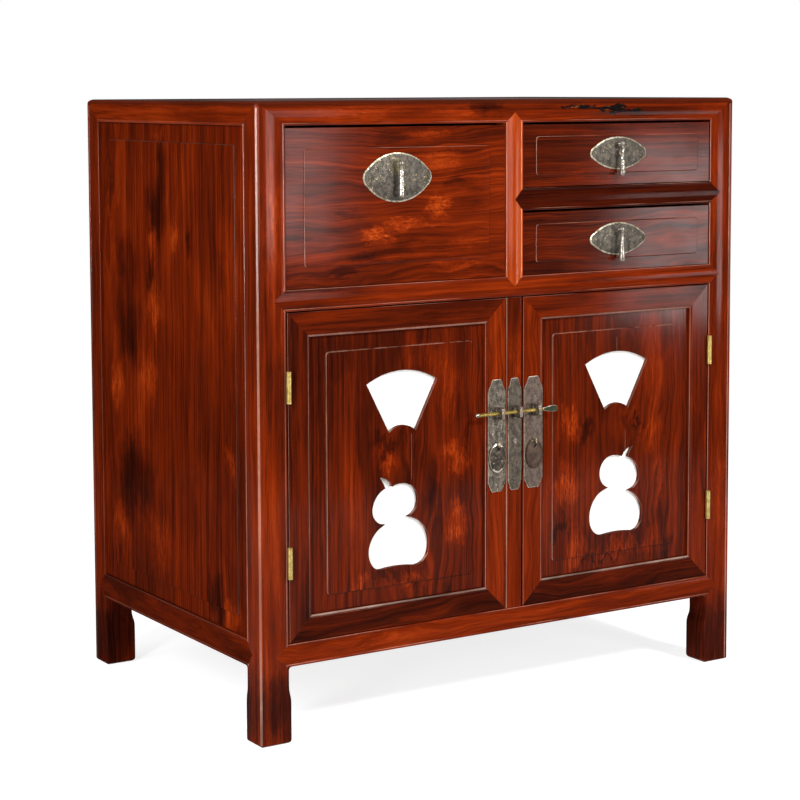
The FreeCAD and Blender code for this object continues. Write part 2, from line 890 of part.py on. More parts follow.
# Upright between the doors, which lifts out of a slot in the middle rail
door_upright_section = mapped(
    face_section(size.upright_width, size.door_thickness, "round", "round"),
    lambda u, v: (upright[0] + u, front + size.door_setback + v),
)
door_upright_run = prism(
    "door_upright_run",
    TOP,
    door_upright_section,
    rail_top,
    door_head - size.stile_gap - rail_top,
)
slot_y = (front + size.tenon_setback - size.tenon_margin, front + size.tenon_setback)
door_upright_tongue = block(
    "door_upright_tongue",
    (upright[0] + size.tenon_margin, upright[1] - size.tenon_margin),
    slot_y,
    (rail_top - size.stile_slot, door_head + size.stile_slot),
)
blanks["door_upright"] = join("door_upright_blank", door_upright_run, door_upright_tongue)
cutters["door_upright"] = []
cutters["bottom_front_rail"].append(door_upright_tongue)
cutters["middle_rail"].append(door_upright_tongue)


# Raised boards
def raised_board(name, plane, outer, field, thickness, rise, edge_round, inward, at):
    """A board whose border lies in the plane and whose field stands proud of it."""
    body = doc.addObject("PartDesign::Body", name)
    field_path = rounded(*field, size.field_corner)
    pad(body, outline(body, f"{name}_edge", plane, rectangle(*outer)), thickness, inward)
    raised = pad(body, outline(body, f"{name}_field", plane, field_path), rise, not inward)
    doc.recompute()
    axis = "y" if plane == FRONT else "x"
    level = (-rise if plane == FRONT or not inward else rise).value
    soft = body.newObject("PartDesign::Fillet", f"{name}_soft_edge")
    soft.Base = (raised, edges_at(raised.Shape, axis, level))
    soft.setExpression("Radius", edge_round.formula)
    place(body, *at)
    return body


def inside(pair, margin, other_margin=None):
    return (pair[0] + margin, pair[1] - (margin if other_margin is None else other_margin))


def outside(pair, margin):
    return (pair[0] - margin, pair[1] + margin)


# Side panels, whose tongues run in the posts, the top rails and the bottom side rails
panel_y, panel_z = (side_front, side_back), (side_rail_top, head)
for side, word in ((-1, "left"), (1, "right")):
    name = f"{word}_side_panel"
    face_x = (half - size.panel_recess) * side
    board = raised_board(
        f"{name}_board",
        SIDE,
        (panel_y, panel_z),
        (inside(panel_y, size.side_field_margin), inside(panel_z, size.side_field_end_margin)),
        size.side_panel_thickness,
        size.field_rise,
        size.field_round,
        side > 0,
        (face_x, ZERO, ZERO),
    )
    thick = span(
        face_x - size.tongue_setback * side,
        face_x - (size.tongue_setback + size.tongue_thickness) * side,
    )
    tongue = block(
        f"{name}_tongue",
        thick,
        outside(panel_y, size.groove_depth),
        outside(panel_z, size.groove_depth),
    )
    blanks[name] = join(f"{name}_blank", board, tongue)
    cutters[name] = []
    for frame_piece in (f"front_{word}_post", f"back_{word}_post", f"top_{word}_rail", "bottom_side_rails"):
        cutters[frame_piece].append(tongue)

# Back panel
back_face = back - size.back_panel_inset
back_x, back_z = across_front, (side_rail_top, head)
back_board = block("back_panel_board", back_x, (back_face - size.back_panel_thickness, back_face), back_z)
back_tongue = block(
    "back_panel_tongue",
    outside(back_x, size.groove_depth),
    (back_face - size.tongue_setback - size.tongue_thickness, back_face - size.tongue_setback),
    outside(back_z, size.groove_depth),
)
blanks["back_panel"] = join("back_panel_blank", back_board, back_tongue)
cutters["back_panel"] = []
for frame_piece in ("back_left_post", "back_right_post", "top_back_rail", "bottom_back_rail"):
    cutters[frame_piece].append(back_tongue)

# Top panel with two battens under it
top_face = size.height - size.top_panel_drop
top_low = top_face - size.top_panel_thickness
top_x, top_y = (-inner, inner), (side_front, side_back)
top_board = block("top_panel_board", top_x, top_y, (top_low, top_face))
top_tongue = block(
    "top_panel_tongue",
    outside(top_x, size.groove_depth),
    outside(top_y, size.groove_depth),
    (top_low, top_low + size.tongue_thickness),
)
blanks["top_panel"] = join("top_panel_blank", top_board, top_tongue)
cutters["top_panel"] = [tenons[post] for post in tenons]
for rail in ("top_front_rail", "top_back_rail", "top_left_rail", "top_right_rail"):
    cutters[rail].append(top_tongue)
battens = []
for side in (-1, 1):
    batten_x = about(size.upright_offset + size.batten_spacing / 2 * side, size.batten_width)
    batten_z = (top_low - size.batten_height, top_low)
    batten = block(f"top_batten_{side + 2}", batten_x, outside(top_y, size.groove_depth), batten_z)
    battens.append(batten)
    cutters["top_front_rail"].append(batten)
    cutters["top_back_rail"].append(batten)
blanks["top_panel_battens"] = group("top_panel_battens_blank", *battens)
cutters["top_panel_battens"] = []

# Cupboard bottom in the grooves of the bottom rails
board_top = rail_top - size.bottom_board_drop
board_x = outside((-half + size.rail_depth, half - size.rail_depth), size.groove_depth)
board_y = outside((front + size.rail_depth, back - size.rail_depth), size.groove_depth)
bottom_board = block(
    "bottom_board_blank",
    board_x,
    board_y,
    (board_top - size.bottom_board_thickness, board_top),
)
blanks["bottom_board"] = bottom_board
for rail in ("bottom_front_rail", "bottom_side_rails", "bottom_back_rail"):
    cutters[rail].append(bottom_board)
cutters["bottom_board"] = [blanks[post] for post in tenons]

# Deck under the drawers, its bearers, the partition, guides and runners
lining = half - size.panel_recess - size.side_panel_thickness
cabin_back = back_face - size.back_panel_thickness
deck_z = (bay_floor - size.deck_thickness, bay_floor)
deck_y = (front + size.rail_depth, cabin_back)
blanks["drawer_deck"] = block("drawer_deck_blank", (-lining, lining), deck_y, deck_z)
cutters["drawer_deck"] = [blanks[post] for post in tenons]
runner_parts = []
for side, word in ((-1, "left"), (1, "right")):
    bearer_x = span(lining * side, (lining - size.bearer_width) * side)
    bearer_z = (deck_z[0] - size.bearer_height, deck_z[0])
    bearer = block(f"{word}_bearer", bearer_x, outside(panel_y, size.groove_depth), bearer_z)
    cutters[f"front_{word}_post"].append(bearer)
    cutters[f"back_{word}_post"].append(bearer)
    guide_x = span(lining * side, (inner + size.slide_gap) * side)
    guide = block(f"{word}_guide", guide_x, panel_y, (bay_floor, bay_floor + size.guide_height))
    runner_parts += [bearer, guide]
partition_x = about(size.upright_offset, size.partition_thickness)
runner_z = (divider_up[1] - size.runner_height, divider_up[1])
runner_y = (front + size.upright_depth, side_back)
inner_runner = block("inner_runner", (partition_x[1], partition_x[1] + size.runner_width), runner_y, runner_z)
outer_runner = block("outer_runner", (inner - size.runner_width, lining), panel_y, runner_z)
runner_parts += [inner_runner, outer_runner]
blanks["drawer_runners"] = group("drawer_runners_blank", *runner_parts)
cutters["drawer_runners"] = []
blanks["drawer_partition"] = block(
    "drawer_partition_blank",
    partition_x,
    (front + size.upright_depth, cabin_back),
    (bay_floor, top_low),
)
cutters["drawer_partition"] = [blanks["top_back_rail"], blanks["top_front_rail"]]


# Hinges: two leaves that share a barrel, on a pin
def hinge_parts(word, side):
    """The leaves, pins and pockets of one door's two hinges."""
    axis_x = (inner - size.hinge_gap / 2) * side
    axis_y = front - size.hinge_axis_reach
    post_leaves, door_leaves, pins, pockets = [], [], [], []
    bore = size.hinge_pin_radius + size.hinge_pin_clearance
    knuckle = size.hinge_length / 3
    levels = (("upper", door_z[1] - size.upper_hinge_inset), ("lower", door_z[0] + size.lower_hinge_inset))
    for place_word, centre in levels:
        name = f"{word}_{place_word}_hinge"
        low = centre - size.hinge_length / 2
        high = centre + size.hinge_length / 2
        wall = axis_y + size.barrel_radius
        pin_bore = bar(f"{name}_bore", "z", (axis_x, axis_y, low), size.hinge_length, bore)
        for owner, toward in (("post", side), ("door", -side)):
            leaf_x = span(
                axis_x + size.hinge_leaf_clearance * toward,
                axis_x + (size.hinge_leaf_clearance + size.hinge_leaf_thickness) * toward,
            )
            leaf = block(
                f"{name}_{owner}_leaf",
                leaf_x,
                (wall + size.barrel_clearance, axis_y + size.hinge_leaf_width),
                (low, high),
            )
            pieces = [leaf]
            owned = ((0, low, low + knuckle - size.knuckle_gap), (2, high - knuckle + size.knuckle_gap, high))
            if owner == "door":
                owned = ((1, low + knuckle, high - knuckle),)
            for number, bottom, top in owned:
                part_name = f"{name}_{owner}_knuckle_{number}"
                barrel = bar(part_name, "z", (axis_x, axis_y, bottom), top - bottom, size.barrel_radius)
                strap = block(
                    f"{part_name}_strap",
                    leaf_x,
                    (axis_y + bore, wall + size.barrel_clearance + size.hinge_leaf_thickness),
                    (bottom, top),
                )
                pieces += [barrel, strap]
            whole = remove(f"{name}_{owner}_hinge_leaf", join(f"{name}_{owner}_plate", *pieces), pin_bore)
            (post_leaves if owner == "post" else door_leaves).append(whole)
            pocket_y = (axis_y, axis_y + size.hinge_leaf_width)
            pockets.append((owner, block(f"{name}_{owner}_pocket", leaf_x, pocket_y, (low, high))))
        for owner in ("post", "door"):
            scoop = bar(
                f"{name}_{owner}_scoop",
                "z",
                (axis_x, axis_y, low - size.barrel_clearance),
                size.hinge_length + size.barrel_clearance * 2,
                size.barrel_radius + size.barrel_clearance,
            )
            pockets.append((owner, scoop))
        pins.append(bar(f"{name}_pin", "z", (axis_x, axis_y, low), size.hinge_length, size.hinge_pin_radius))
    return post_leaves, door_leaves, pins, pockets


# Lock plates, lugs and hanging pulls
door_face = front + size.door_setback
plate_face = door_face - size.plate_thickness


def lock_plate(name, centre, breadth):
    half_wide, half_high = breadth / 2, size.lock_plate_height / 2
    right_side = LOCK_PLATE_TOP_SHARES + LOCK_PLATE_FOOT_SHARES
    path = []
    for step in right_side:
        path.append(tuple((centre + half_wide * u, lock_level + half_high * w) for u, w in step))
    mirrored = list(reversed(right_side))
    for index, step in enumerate(mirrored):
        u, w = step[-1]
        end = (centre - half_wide * u, lock_level + half_high * w)
        middle = mirrored[index - 1][0] if index else None
        if middle and len(mirrored[index - 1]) == 2:
            through = (centre - half_wide * middle[0], lock_level + half_high * middle[1])
            path.append((through, end))
        else:
            path.append((end,))
    return prism(name, FRONT, path, plate_face, size.plate_thickness)


def lug(name, centre):
    """A strap lug that the rod passes through, with a tang through its plate into the wood."""
    thick = about(centre, size.lug_width)
    tip = plate_face - size.lug_reach
    tall = about(rod_level, size.lug_height)
    radius = size.lug_corner_radius
    near = radius * ROUND_SHARE
    body_path = [
        ((plate_face, tall[0]),),
        ((plate_face, tall[1]),),
        ((tip + radius, tall[1]),),
        ((tip + near, tall[1] - near), (tip, tall[1] - radius)),
        ((tip, tall[0] + radius),),
        ((tip + near, tall[0] + near), (tip + radius, tall[0])),
    ]
    plate = prism(f"{name}_eye", SIDE, body_path, thick[0], size.lug_width)
    slot_y_span = about(plate_face - size.rod_reach, size.lug_slot_width)
    slot_z_span = about(rod_level, size.lug_slot_height)
    slot_path = rounded(slot_y_span, slot_z_span, size.lug_slot_width / 3)
    start = thick[0] - size.overrun
    slot = prism(f"{name}_slot", SIDE, slot_path, start, size.lug_width + size.overrun * 2)
    tang = block(
        f"{name}_tang",
        thick,
        (plate_face - size.plate_thickness / 2, plate_face + size.lug_tang_length),
        about(rod_level, size.lug_tang_height),
    )
    return remove(f"{name}_form", join(f"{name}_solid", plate, tang), slot), tang


def pull_staple(name, centre):
    """A wire bent round the pull's bridge, with its two ends in the wood."""
    wire = size.pull_wire_radius
    axis_y = plate_face - size.pull_gap - size.pull_thickness / 2
    crown = axis_y - size.pull_staple_reach
    ends = []
    levels = about(pull_level, size.pull_staple_half_span * 2)
    for number, level in enumerate(levels):
        length = plate_face + size.staple_embed - crown
        ends.append(bar(f"{name}_end_{number}", "y", (centre, crown, level), length, wire))
        ends.append(ball(f"{name}_bend_{number}", (centre, crown, level), wire))
    bow = bar(f"{name}_bow", "z", (centre, crown, levels[0]), levels[1] - levels[0], wire)
    return join(f"{name}_form", *ends, bow)


def hanging_pull(name, centre):
    """A thin oval that hangs from its staple by the bridge above its slot."""
    top = pull_level + size.pull_bridge / 2
    middle = top - size.pull_height / 2
    wide, high = size.pull_width / 2, size.pull_height / 2
    near_x, near_z = wide * (1 - ROUND_SHARE), high * (1 - ROUND_SHARE)
    path = [
        ((centre + near_x, middle + near_z), (centre + wide, middle)),
        ((centre + near_x, middle - near_z), (centre, middle - high)),
        ((centre - near_x, middle - near_z), (centre - wide, middle)),
        ((centre - near_x, middle + near_z), (centre, middle + high)),
    ]
    start = plate_face - size.pull_gap - size.pull_thickness
    oval = prism(f"{name}_oval", FRONT, path, start, size.pull_thickness)
    slot_top = pull_level - size.pull_bridge / 2
    slot_path = rounded(
        about(centre, size.pull_slot_width),
        (slot_top - size.pull_slot_height, slot_top),
        size.pull_slot_width / 3,
    )
    slot = prism(
        f"{name}_slot",
        FRONT,
        slot_path,
        start - size.overrun,
        size.pull_thickness + size.overrun * 2,
    )
    return remove(name, oval, slot)


# Doors
def door_member(name, section_plane, section, run, mitre_path):
    body = prism(f"{name}_run", section_plane, section, run[0], run[1] - run[0])
    mitre_depth = size.door_thickness + size.overrun * 2
    mitre = prism(f"{name}_mitre", FRONT, mitre_path, door_face - size.overrun, mitre_depth)
    return overlap(f"{name}_form", body, mitre)


def fan_path(centre):
    base = door_z[0] + size.fan_lift * opening_scale
    top = base + size.fan_height * opening_scale
    wide = size.fan_top_half_width * opening_scale
    narrow = size.fan_base_half_width * opening_scale
    return [
        ((centre - wide, top),),
        ((centre, top + size.fan_top_bulge * opening_scale), (centre + wide, top)),
        ((centre + narrow, base),),
        ((centre, base + size.fan_base_bulge * opening_scale), (centre - narrow, base)),
    ]


def gourd_path(centre, side, drop):
    level = door_z[0] + (size.gourd_lift - drop) * opening_scale
    tall = size.gourd_height * opening_scale
    return [tuple((centre + tall * u * side, level + tall * w) for u, w in step) for step in GOURD_SHARES]


def make_door(word, side, hinge_edge, meeting_edge, lock_width, lock_shift, fan_shift, gourd_drop):
    door_x = span(hinge_edge, meeting_edge)
    wide = size.door_frame_width
    hole_x, hole_z = inside(door_x, wide), inside(door_z, wide)
    section = face_section(wide, size.door_thickness, "plain", "bead")
    members = {}
    for member, edge, sign in (("hinge_stile", hinge_edge, side), ("meeting_stile", meeting_edge, -side)):
        name = f"{word}_door_{member}"
        inner_edge = edge - wide * sign
        path = polygon((edge, door_z[0]), (edge, door_z[1]), (inner_edge, hole_z[1]), (inner_edge, hole_z[0]))
        drawn = mapped(section, lambda u, v: (edge - u * sign, door_face + v))
        members[name] = door_member(name, TOP, drawn, door_z, path)
    tenon_blocks = []
    for member, edge, sign, inner_edge in (
        ("top_rail", door_z[1], 1, hole_z[1]),
        ("bottom_rail", door_z[0], -1, hole_z[0]),
    ):
        name = f"{word}_door_{member}"
        path = polygon((door_x[0], edge), (door_x[1], edge), (hole_x[1], inner_edge), (hole_x[0], inner_edge))
        drawn = mapped(section, lambda u, v: (door_face + v, edge - u * sign))
        form = door_member(name, SIDE, drawn, door_x, path)
        tall = span(
            edge - size.door_tenon_inset * sign,
            edge - (size.door_tenon_inset + size.door_tenon_width) * sign,
        )
        deep = about(door_face + size.door_thickness / 2, size.door_tongue_thickness)
        tenon = block(f"{name}_tenons", inside(door_x, size.door_tenon_inset), deep, tall)
        tenon_blocks.append(tenon)
        members[name] = join(f"{name}_whole", form, tenon)
    for name, form in members.items():
        blanks[name] = form
        cutters[name] = list(tenon_blocks) if "stile" in name else []
    panel_face = door_face + size.panel_recess
    field_x = span(
        (hinge_edge - (wide + size.door_field_hinge_margin) * side),
        (meeting_edge + (wide + size.door_field_meeting_margin) * side),
    )
    board = raised_board(
        f"{word}_door_panel_board",
        FRONT,
        (hole_x, hole_z),
        (field_x, inside(hole_z, size.door_field_end_margin)),
        size.door_panel_thickness,
        size.field_rise,
        size.field_round,
        True,
        (ZERO, panel_face, ZERO),
    )
    tongue = block(
        f"{word}_door_panel_tongue",
        outside(hole_x, size.door_tongue),
        (panel_face + size.tongue_setback, panel_face + size.tongue_setback + size.door_tongue_thickness),
        outside(hole_z, size.door_tongue),
    )
    panel = join(f"{word}_door_panel_blank", board, tongue)
    blanks[f"{word}_door_panel"] = panel
    centre = (hole_x[0] + hole_x[1]) / 2
    through = (panel_face - size.panel_recess, size.panel_recess + size.door_panel_thickness + size.overrun)
    fan = prism(f"{word}_fan", FRONT, fan_path(centre + fan_shift), *through)
    gourd = prism(f"{word}_gourd", FRONT, gourd_path(centre, side, gourd_drop), *through)
    panel_back = panel_face + size.door_panel_thickness
    pane_y = panel_back - size.pane_pocket_depth
    pocket_x, pocket_z = inside(hole_x, size.pane_pocket_margin), inside(hole_z, size.pane_pocket_margin)
    pocket = block(f"{word}_pane_pocket", pocket_x, (pane_y, panel_back + size.overrun), pocket_z)
    cutters[f"{word}_door_panel"] = [fan, gourd, pocket]
    for name in members:
        cutters[name].append(tongue)
    pane_span = (pane_y, pane_y + size.pane_thickness)
    pane_x, pane_z = inside(pocket_x, size.pane_clearance), inside(pocket_z, size.pane_clearance)
    nodes[f"{word}_door_pane"] = block(f"{word}_door_pane", pane_x, pane_span, pane_z)
    stile_centre = meeting_edge + wide / 2 * side + lock_shift
    plate = lock_plate(f"{word}_lock_plate_form", stile_centre, lock_width)
    eye, tang = lug(f"{word}_lug", stile_centre)
    staple = pull_staple(f"{word}_pull_staple", stile_centre)
    blanks[f"{word}_lock_plate"] = plate
    cutters[f"{word}_lock_plate"] = [tang, staple]
    nodes[f"{word}_lock_staples"] = group(f"{word}_lock_staples", eye, staple)
    cutters[f"{word}_door_meeting_stile"] += [tang, staple]
    nodes[f"{word}_door_pull"] = hanging_pull(f"{word}_door_pull", stile_centre)
    post_leaves, door_leaves, pins, pockets = hinge_parts(word, side)
    for owner, pocket in pockets:
        target = f"front_{word}_post" if owner == "post" else f"{word}_door_hinge_stile"
        cutters[target].append(pocket)
    nodes[f"{word}_door_hinge_leaves"] = group(f"{word}_door_hinge_leaves", *door_leaves)
    return post_leaves, pins


left_leaves, left_pins = make_door(
    "left",
    -1,
    -inner + size.hinge_gap,
    upright[0] - size.meeting_gap,
    size.left_lock_plate_width,
    size.left_lock_plate_shift,
    size.left_fan_shift,
    size.left_gourd_drop,
)
right_leaves, right_pins = make_door(
    "right",
    1,
    inner - size.hinge_gap,
    upright[1] + size.meeting_gap,
    size.right_lock_plate_width,
    ZERO,
    ZERO,
    ZERO,
)
nodes["post_hinge_leaves"] = group("post_hinge_leaves", *left_leaves, *right_leaves)
nodes["hinge_pins"] = group("hinge_pins", *left_pins, *right_pins)

# Centre lock plate, with its lug and rivet
centre_plate = lock_plate("centre_lock_plate_form", size.upright_offset, size.centre_lock_plate_width)
centre_eye, centre_tang = lug("centre_lug", size.upright_offset)
rivet = bar(
    "centre_rivet",
    "y",
    (size.upright_offset, plate_face - size.rivet_thickness, rivet_level),
    size.rivet_thickness,
    size.rivet_radius,
)
centre_plate_cut = remove("centre_lock_plate_pierced", centre_plate, centre_tang)
nodes["centre_lock_plate"] = group("centre_lock_plate", centre_plate_cut, centre_eye, rivet)
cutters["door_upright"].append(centre_tang)

# Lock rod through the three lugs
rod_y = plate_face - size.rod_reach
rod_start = (-size.rod_left, rod_y, rod_level)
rod_bar = bar("rod_bar", "x", rod_start, size.rod_left + size.rod_right, size.rod_radius)
rod_ball = ball("rod_ball", rod_start, size.rod_ball_radius)
leaf_path = []
for step in LEAF_SHARES:
    leaf_path.append(
        tuple(
            (size.rod_right + size.leaf_length * u, rod_level + size.leaf_height * w)
            for u, w in step
        )
    )
rod_leaf = prism("rod_leaf", FRONT, leaf_path, rod_y - size.leaf_thickness / 2, size.leaf_thickness)
nodes["lock_rod"] = join("lock_rod", rod_bar, rod_ball, rod_leaf)


# Drawers
def drop_pull(name, centre, level, axis_y, stem, tip):
    """A turned drop: bored ball, collar and a stem that widens to a round end."""
    body = doc.addObject("PartDesign::Body", f"{name}_turned")
    ball_r, collar, long = size.drop_ball_radius, size.drop_collar_radius, size.drop_length
    neck, under = ball_r * NECK_ACROSS_SHARE, ball_r * NECK_DOWN_SHARE
    path = [
        ((ball_r, ZERO), (neck, -under)),
        ((collar, -ball_r * 3 / 2), (neck, -ball_r * 2)),
        ((stem, -ball_r * 3),),
        ((tip, -long + tip),),
        ((tip * (1 - ROUND_SHARE), -long + tip * ROUND_SHARE), (ZERO, -long)),
        ((ZERO, ball_r),),
    ]
    profile = outline(body, f"{name}_profile", FRONT, path)
    turned = body.newObject("PartDesign::Revolution", f"{name}_revolution")
    turned.Profile = profile
    turned.ReferenceAxis = (profile, ["V_Axis"])
    place(body, centre, axis_y, level)
    start = (centre - ball_r - size.overrun, axis_y, level)
    bore = bar(f"{name}_bore", "x", start, (ball_r + size.overrun) * 2, size.drop_bore_radius)
    return remove(name, body, bore)


def drawer_staple(name, centre, level, surface):
    """A wire bent square: two ends in the wood and a cross bar for the drop."""
    wire, crown = size.staple_wire_radius, surface - size.staple_reach
    sides = about(centre, size.staple_half_span * 2)
    pieces, ends = [], []
    for number, across in enumerate(sides):
        length = surface + size.plate_thickness + size.staple_embed - crown
        end = bar(f"{name}_end_{number}", "y", (across, crown, level), length, wire)
        ends.append(end)
        pieces += [end, ball(f"{name}_bend_{number}", (across, crown, level), wire)]
    cross = bar(f"{name}_bar", "x", (sides[0], crown, level), sides[1] - sides[0], wire)
    return join(f"{name}_form", *pieces, cross), ends


def make_drawer(word, bay_x, bay_z, margins, plate, plate_shift, plate_lift, staple_lift, drop, washers):
    name = f"{word}_drawer"
    front_x = inside(bay_x, size.drawer_side_gap)
    front_z = inside(bay_z, size.drawer_bottom_gap, size.drawer_top_gap)
    face = front + size.drawer_setback
    board = raised_board(
        f"{name}_front_board",
        FRONT,
        (front_x, front_z),
        (inside(front_x, margins[0]), inside(front_z, margins[1])),
        size.drawer_front_thickness,
        size.drawer_field_rise,
        size.drawer_field_round,
        True,
        (ZERO, face, ZERO),
    )
    blanks[f"{name}_front"] = board
    cutters[f"{name}_front"] = []
    box_x = inside(bay_x, size.drawer_side_gap * 2)
    behind = face + size.drawer_front_thickness
    end_y = cabin_back - size.drawer_back_gap
    side_z = (bay_z[0] + size.drawer_seat_gap, bay_z[1] - size.drawer_side_drop)
    thick = size.drawer_side_thickness
    bottom_low = side_z[0] + size.drawer_bottom_lift
    bottom = block(
        f"{name}_bottom",
        inside(box_x, thick - size.drawer_groove),
        (behind - size.drawer_groove, end_y - thick + size.drawer_groove),
        (bottom_low, bottom_low + size.drawer_bottom_thickness),
    )
    walls = []
    for number, wall_x in enumerate(((box_x[0], box_x[0] + thick), (box_x[1] - thick, box_x[1]))):
        wall = block(f"{name}_side_{number}", wall_x, (behind - size.drawer_dovetail, end_y), side_z)
        cutters[f"{name}_front"].append(wall)
        walls.append(remove(f"{name}_side_{number}_grooved", wall, bottom))
    rear = block(f"{name}_back", inside(box_x, thick), (end_y - thick, end_y), side_z)
    walls.append(remove(f"{name}_back_grooved", rear, bottom))
    cutters[f"{name}_front"].append(bottom)
    nodes[f"{name}_box"] = group(f"{name}_box", *walls, bottom)
    plate_wide, plate_high = plate
    centre = (bay_x[0] + bay_x[1]) / 2 - plate_shift
    level = (bay_z[0] + bay_z[1]) / 2 + plate_lift
    seat = face - size.drawer_field_rise
    surface = seat - size.plate_thickness
    path = []
    for step in OVAL_PLATE_SHARES:
        path.append(tuple((centre + plate_wide / 2 * u, level + plate_high / 2 * w) for u, w in step))
    oval = prism(f"{name}_plate_form", FRONT, path, surface, size.plate_thickness)
    staple, ends = drawer_staple(f"{name}_staple", centre, level + staple_lift, surface)
    pins, shanks = [], []
    for number, side in enumerate((-1, 1)):
        across = centre + (plate_wide / 2 - size.plate_pin_length) * side
        shank = bar(
            f"{name}_pin_shank_{number}",
            "y",
            (across, surface, level),
            size.plate_pin_length,
            size.plate_pin_radius / 2,
        )
        top = bar(
            f"{name}_pin_head_{number}",
            "y",
            (across, surface - size.plate_pin_head, level),
            size.plate_pin_head,
            size.plate_pin_radius,
        )
        shanks.append(shank)
        pins.append(join(f"{name}_pin_{number}", shank, top))
    metal = [remove(f"{name}_plate_pierced", oval, *ends, *shanks)]
    for number in range(washers):
        washer_at = (centre, surface - size.washer_thickness, level + staple_lift)
        washer = bar(f"{name}_washer_{number}", "y", washer_at, size.washer_thickness, size.washer_radius)
        metal.append(remove(f"{name}_washer_{number}_pierced", washer, *ends))
    nodes[f"{name}_pull_plate"] = group(f"{name}_pull_plate", *metal, staple, *pins)
    cutters[f"{name}_front"] += ends + shanks
    crown = surface - size.staple_reach
    nodes[f"{name}_drop"] = drop_pull(f"{name}_drop", centre, level + staple_lift, crown, *drop)


make_drawer(
    "left",
    (-inner, upright[0]),
    (bay_floor, head),
    (size.wide_field_margin, size.wide_field_margin),
    (size.wide_plate_width, size.wide_plate_height),
    size.wide_plate_shift,
    size.wide_plate_lift,
    size.wide_staple_lift,
    (size.wide_drop_stem_radius, size.wide_drop_tip_radius),
    washers=1,
)
small_margins = (size.small_field_margin, size.small_field_end_margin)
for word, bay_z in (("upper", (divider_up[1], head)), ("lower", (bay_floor, divider_up[0]))):
    make_drawer(
        word,
        (upright[1], inner),
        bay_z,
        small_margins,
        (size.small_plate_width, size.small_plate_height),
        size.small_plate_shift,
        ZERO,
        size.small_staple_lift,
        (size.small_drop_stem_radius, size.small_drop_tip_radius),
        washers=0,
    )

# Finish every blank with what is let into it
for name, blank in blanks.items():
    nodes[name] = remove(name, blank, *cutters[name]) if cutters[name] else blank

doc.recompute()

# Check every object and every piece before anything is written
for feature in doc.Objects:
    for state in feature.State:
        if state in ("Invalid", "Error"):
            raise RuntimeError(f"{feature.Name} is {state}")
for name, feature in nodes.items():
    feature.Label = name
    shape = feature.Shape
    if shape.isNull() or not shape.isValid() or not shape.Solids:
        raise RuntimeError(f"{name} has no valid solid")

os.makedirs("parts", exist_ok=True)
for name, feature in nodes.items():
    feature.Shape.exportStep(f"parts/{name}.step")
    print(name, len(feature.Shape.Solids), "solids,", round(feature.Shape.Volume / 1000, 2), "cm3")
print(len(nodes), "nodes")
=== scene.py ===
# %% [markdown]
# A low cabinet in dark rosewood, with three drawers over two pierced doors and brass fittings.
# The joinery comes finished from CAD, so Blender's work here is what a finisher and a brass
# worker would add: figured wood under lacquer, softened edges, and cut, filed and worn brass.

import math
import random

import bmesh
import bpy
from mathutils import Matrix, Vector


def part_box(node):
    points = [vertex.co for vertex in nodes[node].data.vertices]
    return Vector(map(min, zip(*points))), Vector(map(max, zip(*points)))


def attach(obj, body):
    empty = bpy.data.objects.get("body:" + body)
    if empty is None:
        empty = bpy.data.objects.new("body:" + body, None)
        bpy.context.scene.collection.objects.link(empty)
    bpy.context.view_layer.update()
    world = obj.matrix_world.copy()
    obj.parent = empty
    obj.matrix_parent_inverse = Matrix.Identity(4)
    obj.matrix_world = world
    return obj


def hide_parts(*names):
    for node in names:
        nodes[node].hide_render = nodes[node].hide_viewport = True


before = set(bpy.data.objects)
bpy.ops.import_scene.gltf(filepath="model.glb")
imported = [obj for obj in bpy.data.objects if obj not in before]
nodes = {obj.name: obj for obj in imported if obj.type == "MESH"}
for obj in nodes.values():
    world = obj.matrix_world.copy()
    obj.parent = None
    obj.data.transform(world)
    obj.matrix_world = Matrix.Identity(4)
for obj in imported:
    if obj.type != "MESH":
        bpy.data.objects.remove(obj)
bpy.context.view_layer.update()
for spare in ("Cube", "Light", "Camera"):
    if spare in bpy.data.objects:
        bpy.data.objects.remove(bpy.data.objects[spare])

# %% [markdown]
# The camera stands in front of the left corner, a little above the top. A product photographer
# keeps the camera nearly level so that upright posts stay upright, and shifts the lens down to
# bring the feet into the frame.

# %% Camera
CAMERA_TURN = math.radians(-32.495)
CAMERA_DIP = math.radians(5.115)
CAMERA_ROLL = math.radians(-0.184)
CAMERA_PLACE = Vector((-1.5572, -2.4116, 0.7945))
CAMERA_LENS, CAMERA_SHIFT = 94.653, -0.155

forward = Vector(
    (
        -math.sin(CAMERA_TURN) * math.cos(CAMERA_DIP),
        math.cos(CAMERA_TURN) * math.cos(CAMERA_DIP),
        -math.sin(CAMERA_DIP),
    )
)
level = Vector((math.cos(CAMERA_TURN), math.sin(CAMERA_TURN), 0))
upward = level.cross(forward)
across = math.cos(CAMERA_ROLL) * level + math.sin(CAMERA_ROLL) * upward
upward = math.cos(CAMERA_ROLL) * upward - math.sin(CAMERA_ROLL) * level
camera_data = bpy.data.cameras.new("camera")
camera_data.lens = CAMERA_LENS
camera_data.sensor_width = 36
camera_data.shift_y = CAMERA_SHIFT
camera = bpy.data.objects.new("camera", camera_data)
bpy.context.scene.collection.objects.link(camera)
turn = Matrix((across, upward, -forward)).transposed()
camera.matrix_world = Matrix.Translation(CAMERA_PLACE) @ turn.to_4x4()
bpy.context.scene.camera = camera
print("camera", camera.location)

# %% [markdown]
# Materials are sums of simple patterns. Writing each sum as a Python expression keeps it
# readable, so one small class wraps a node's socket: an operator adds a Math node, and every
# other node comes from one method that sets the node first and feeds its sockets next.


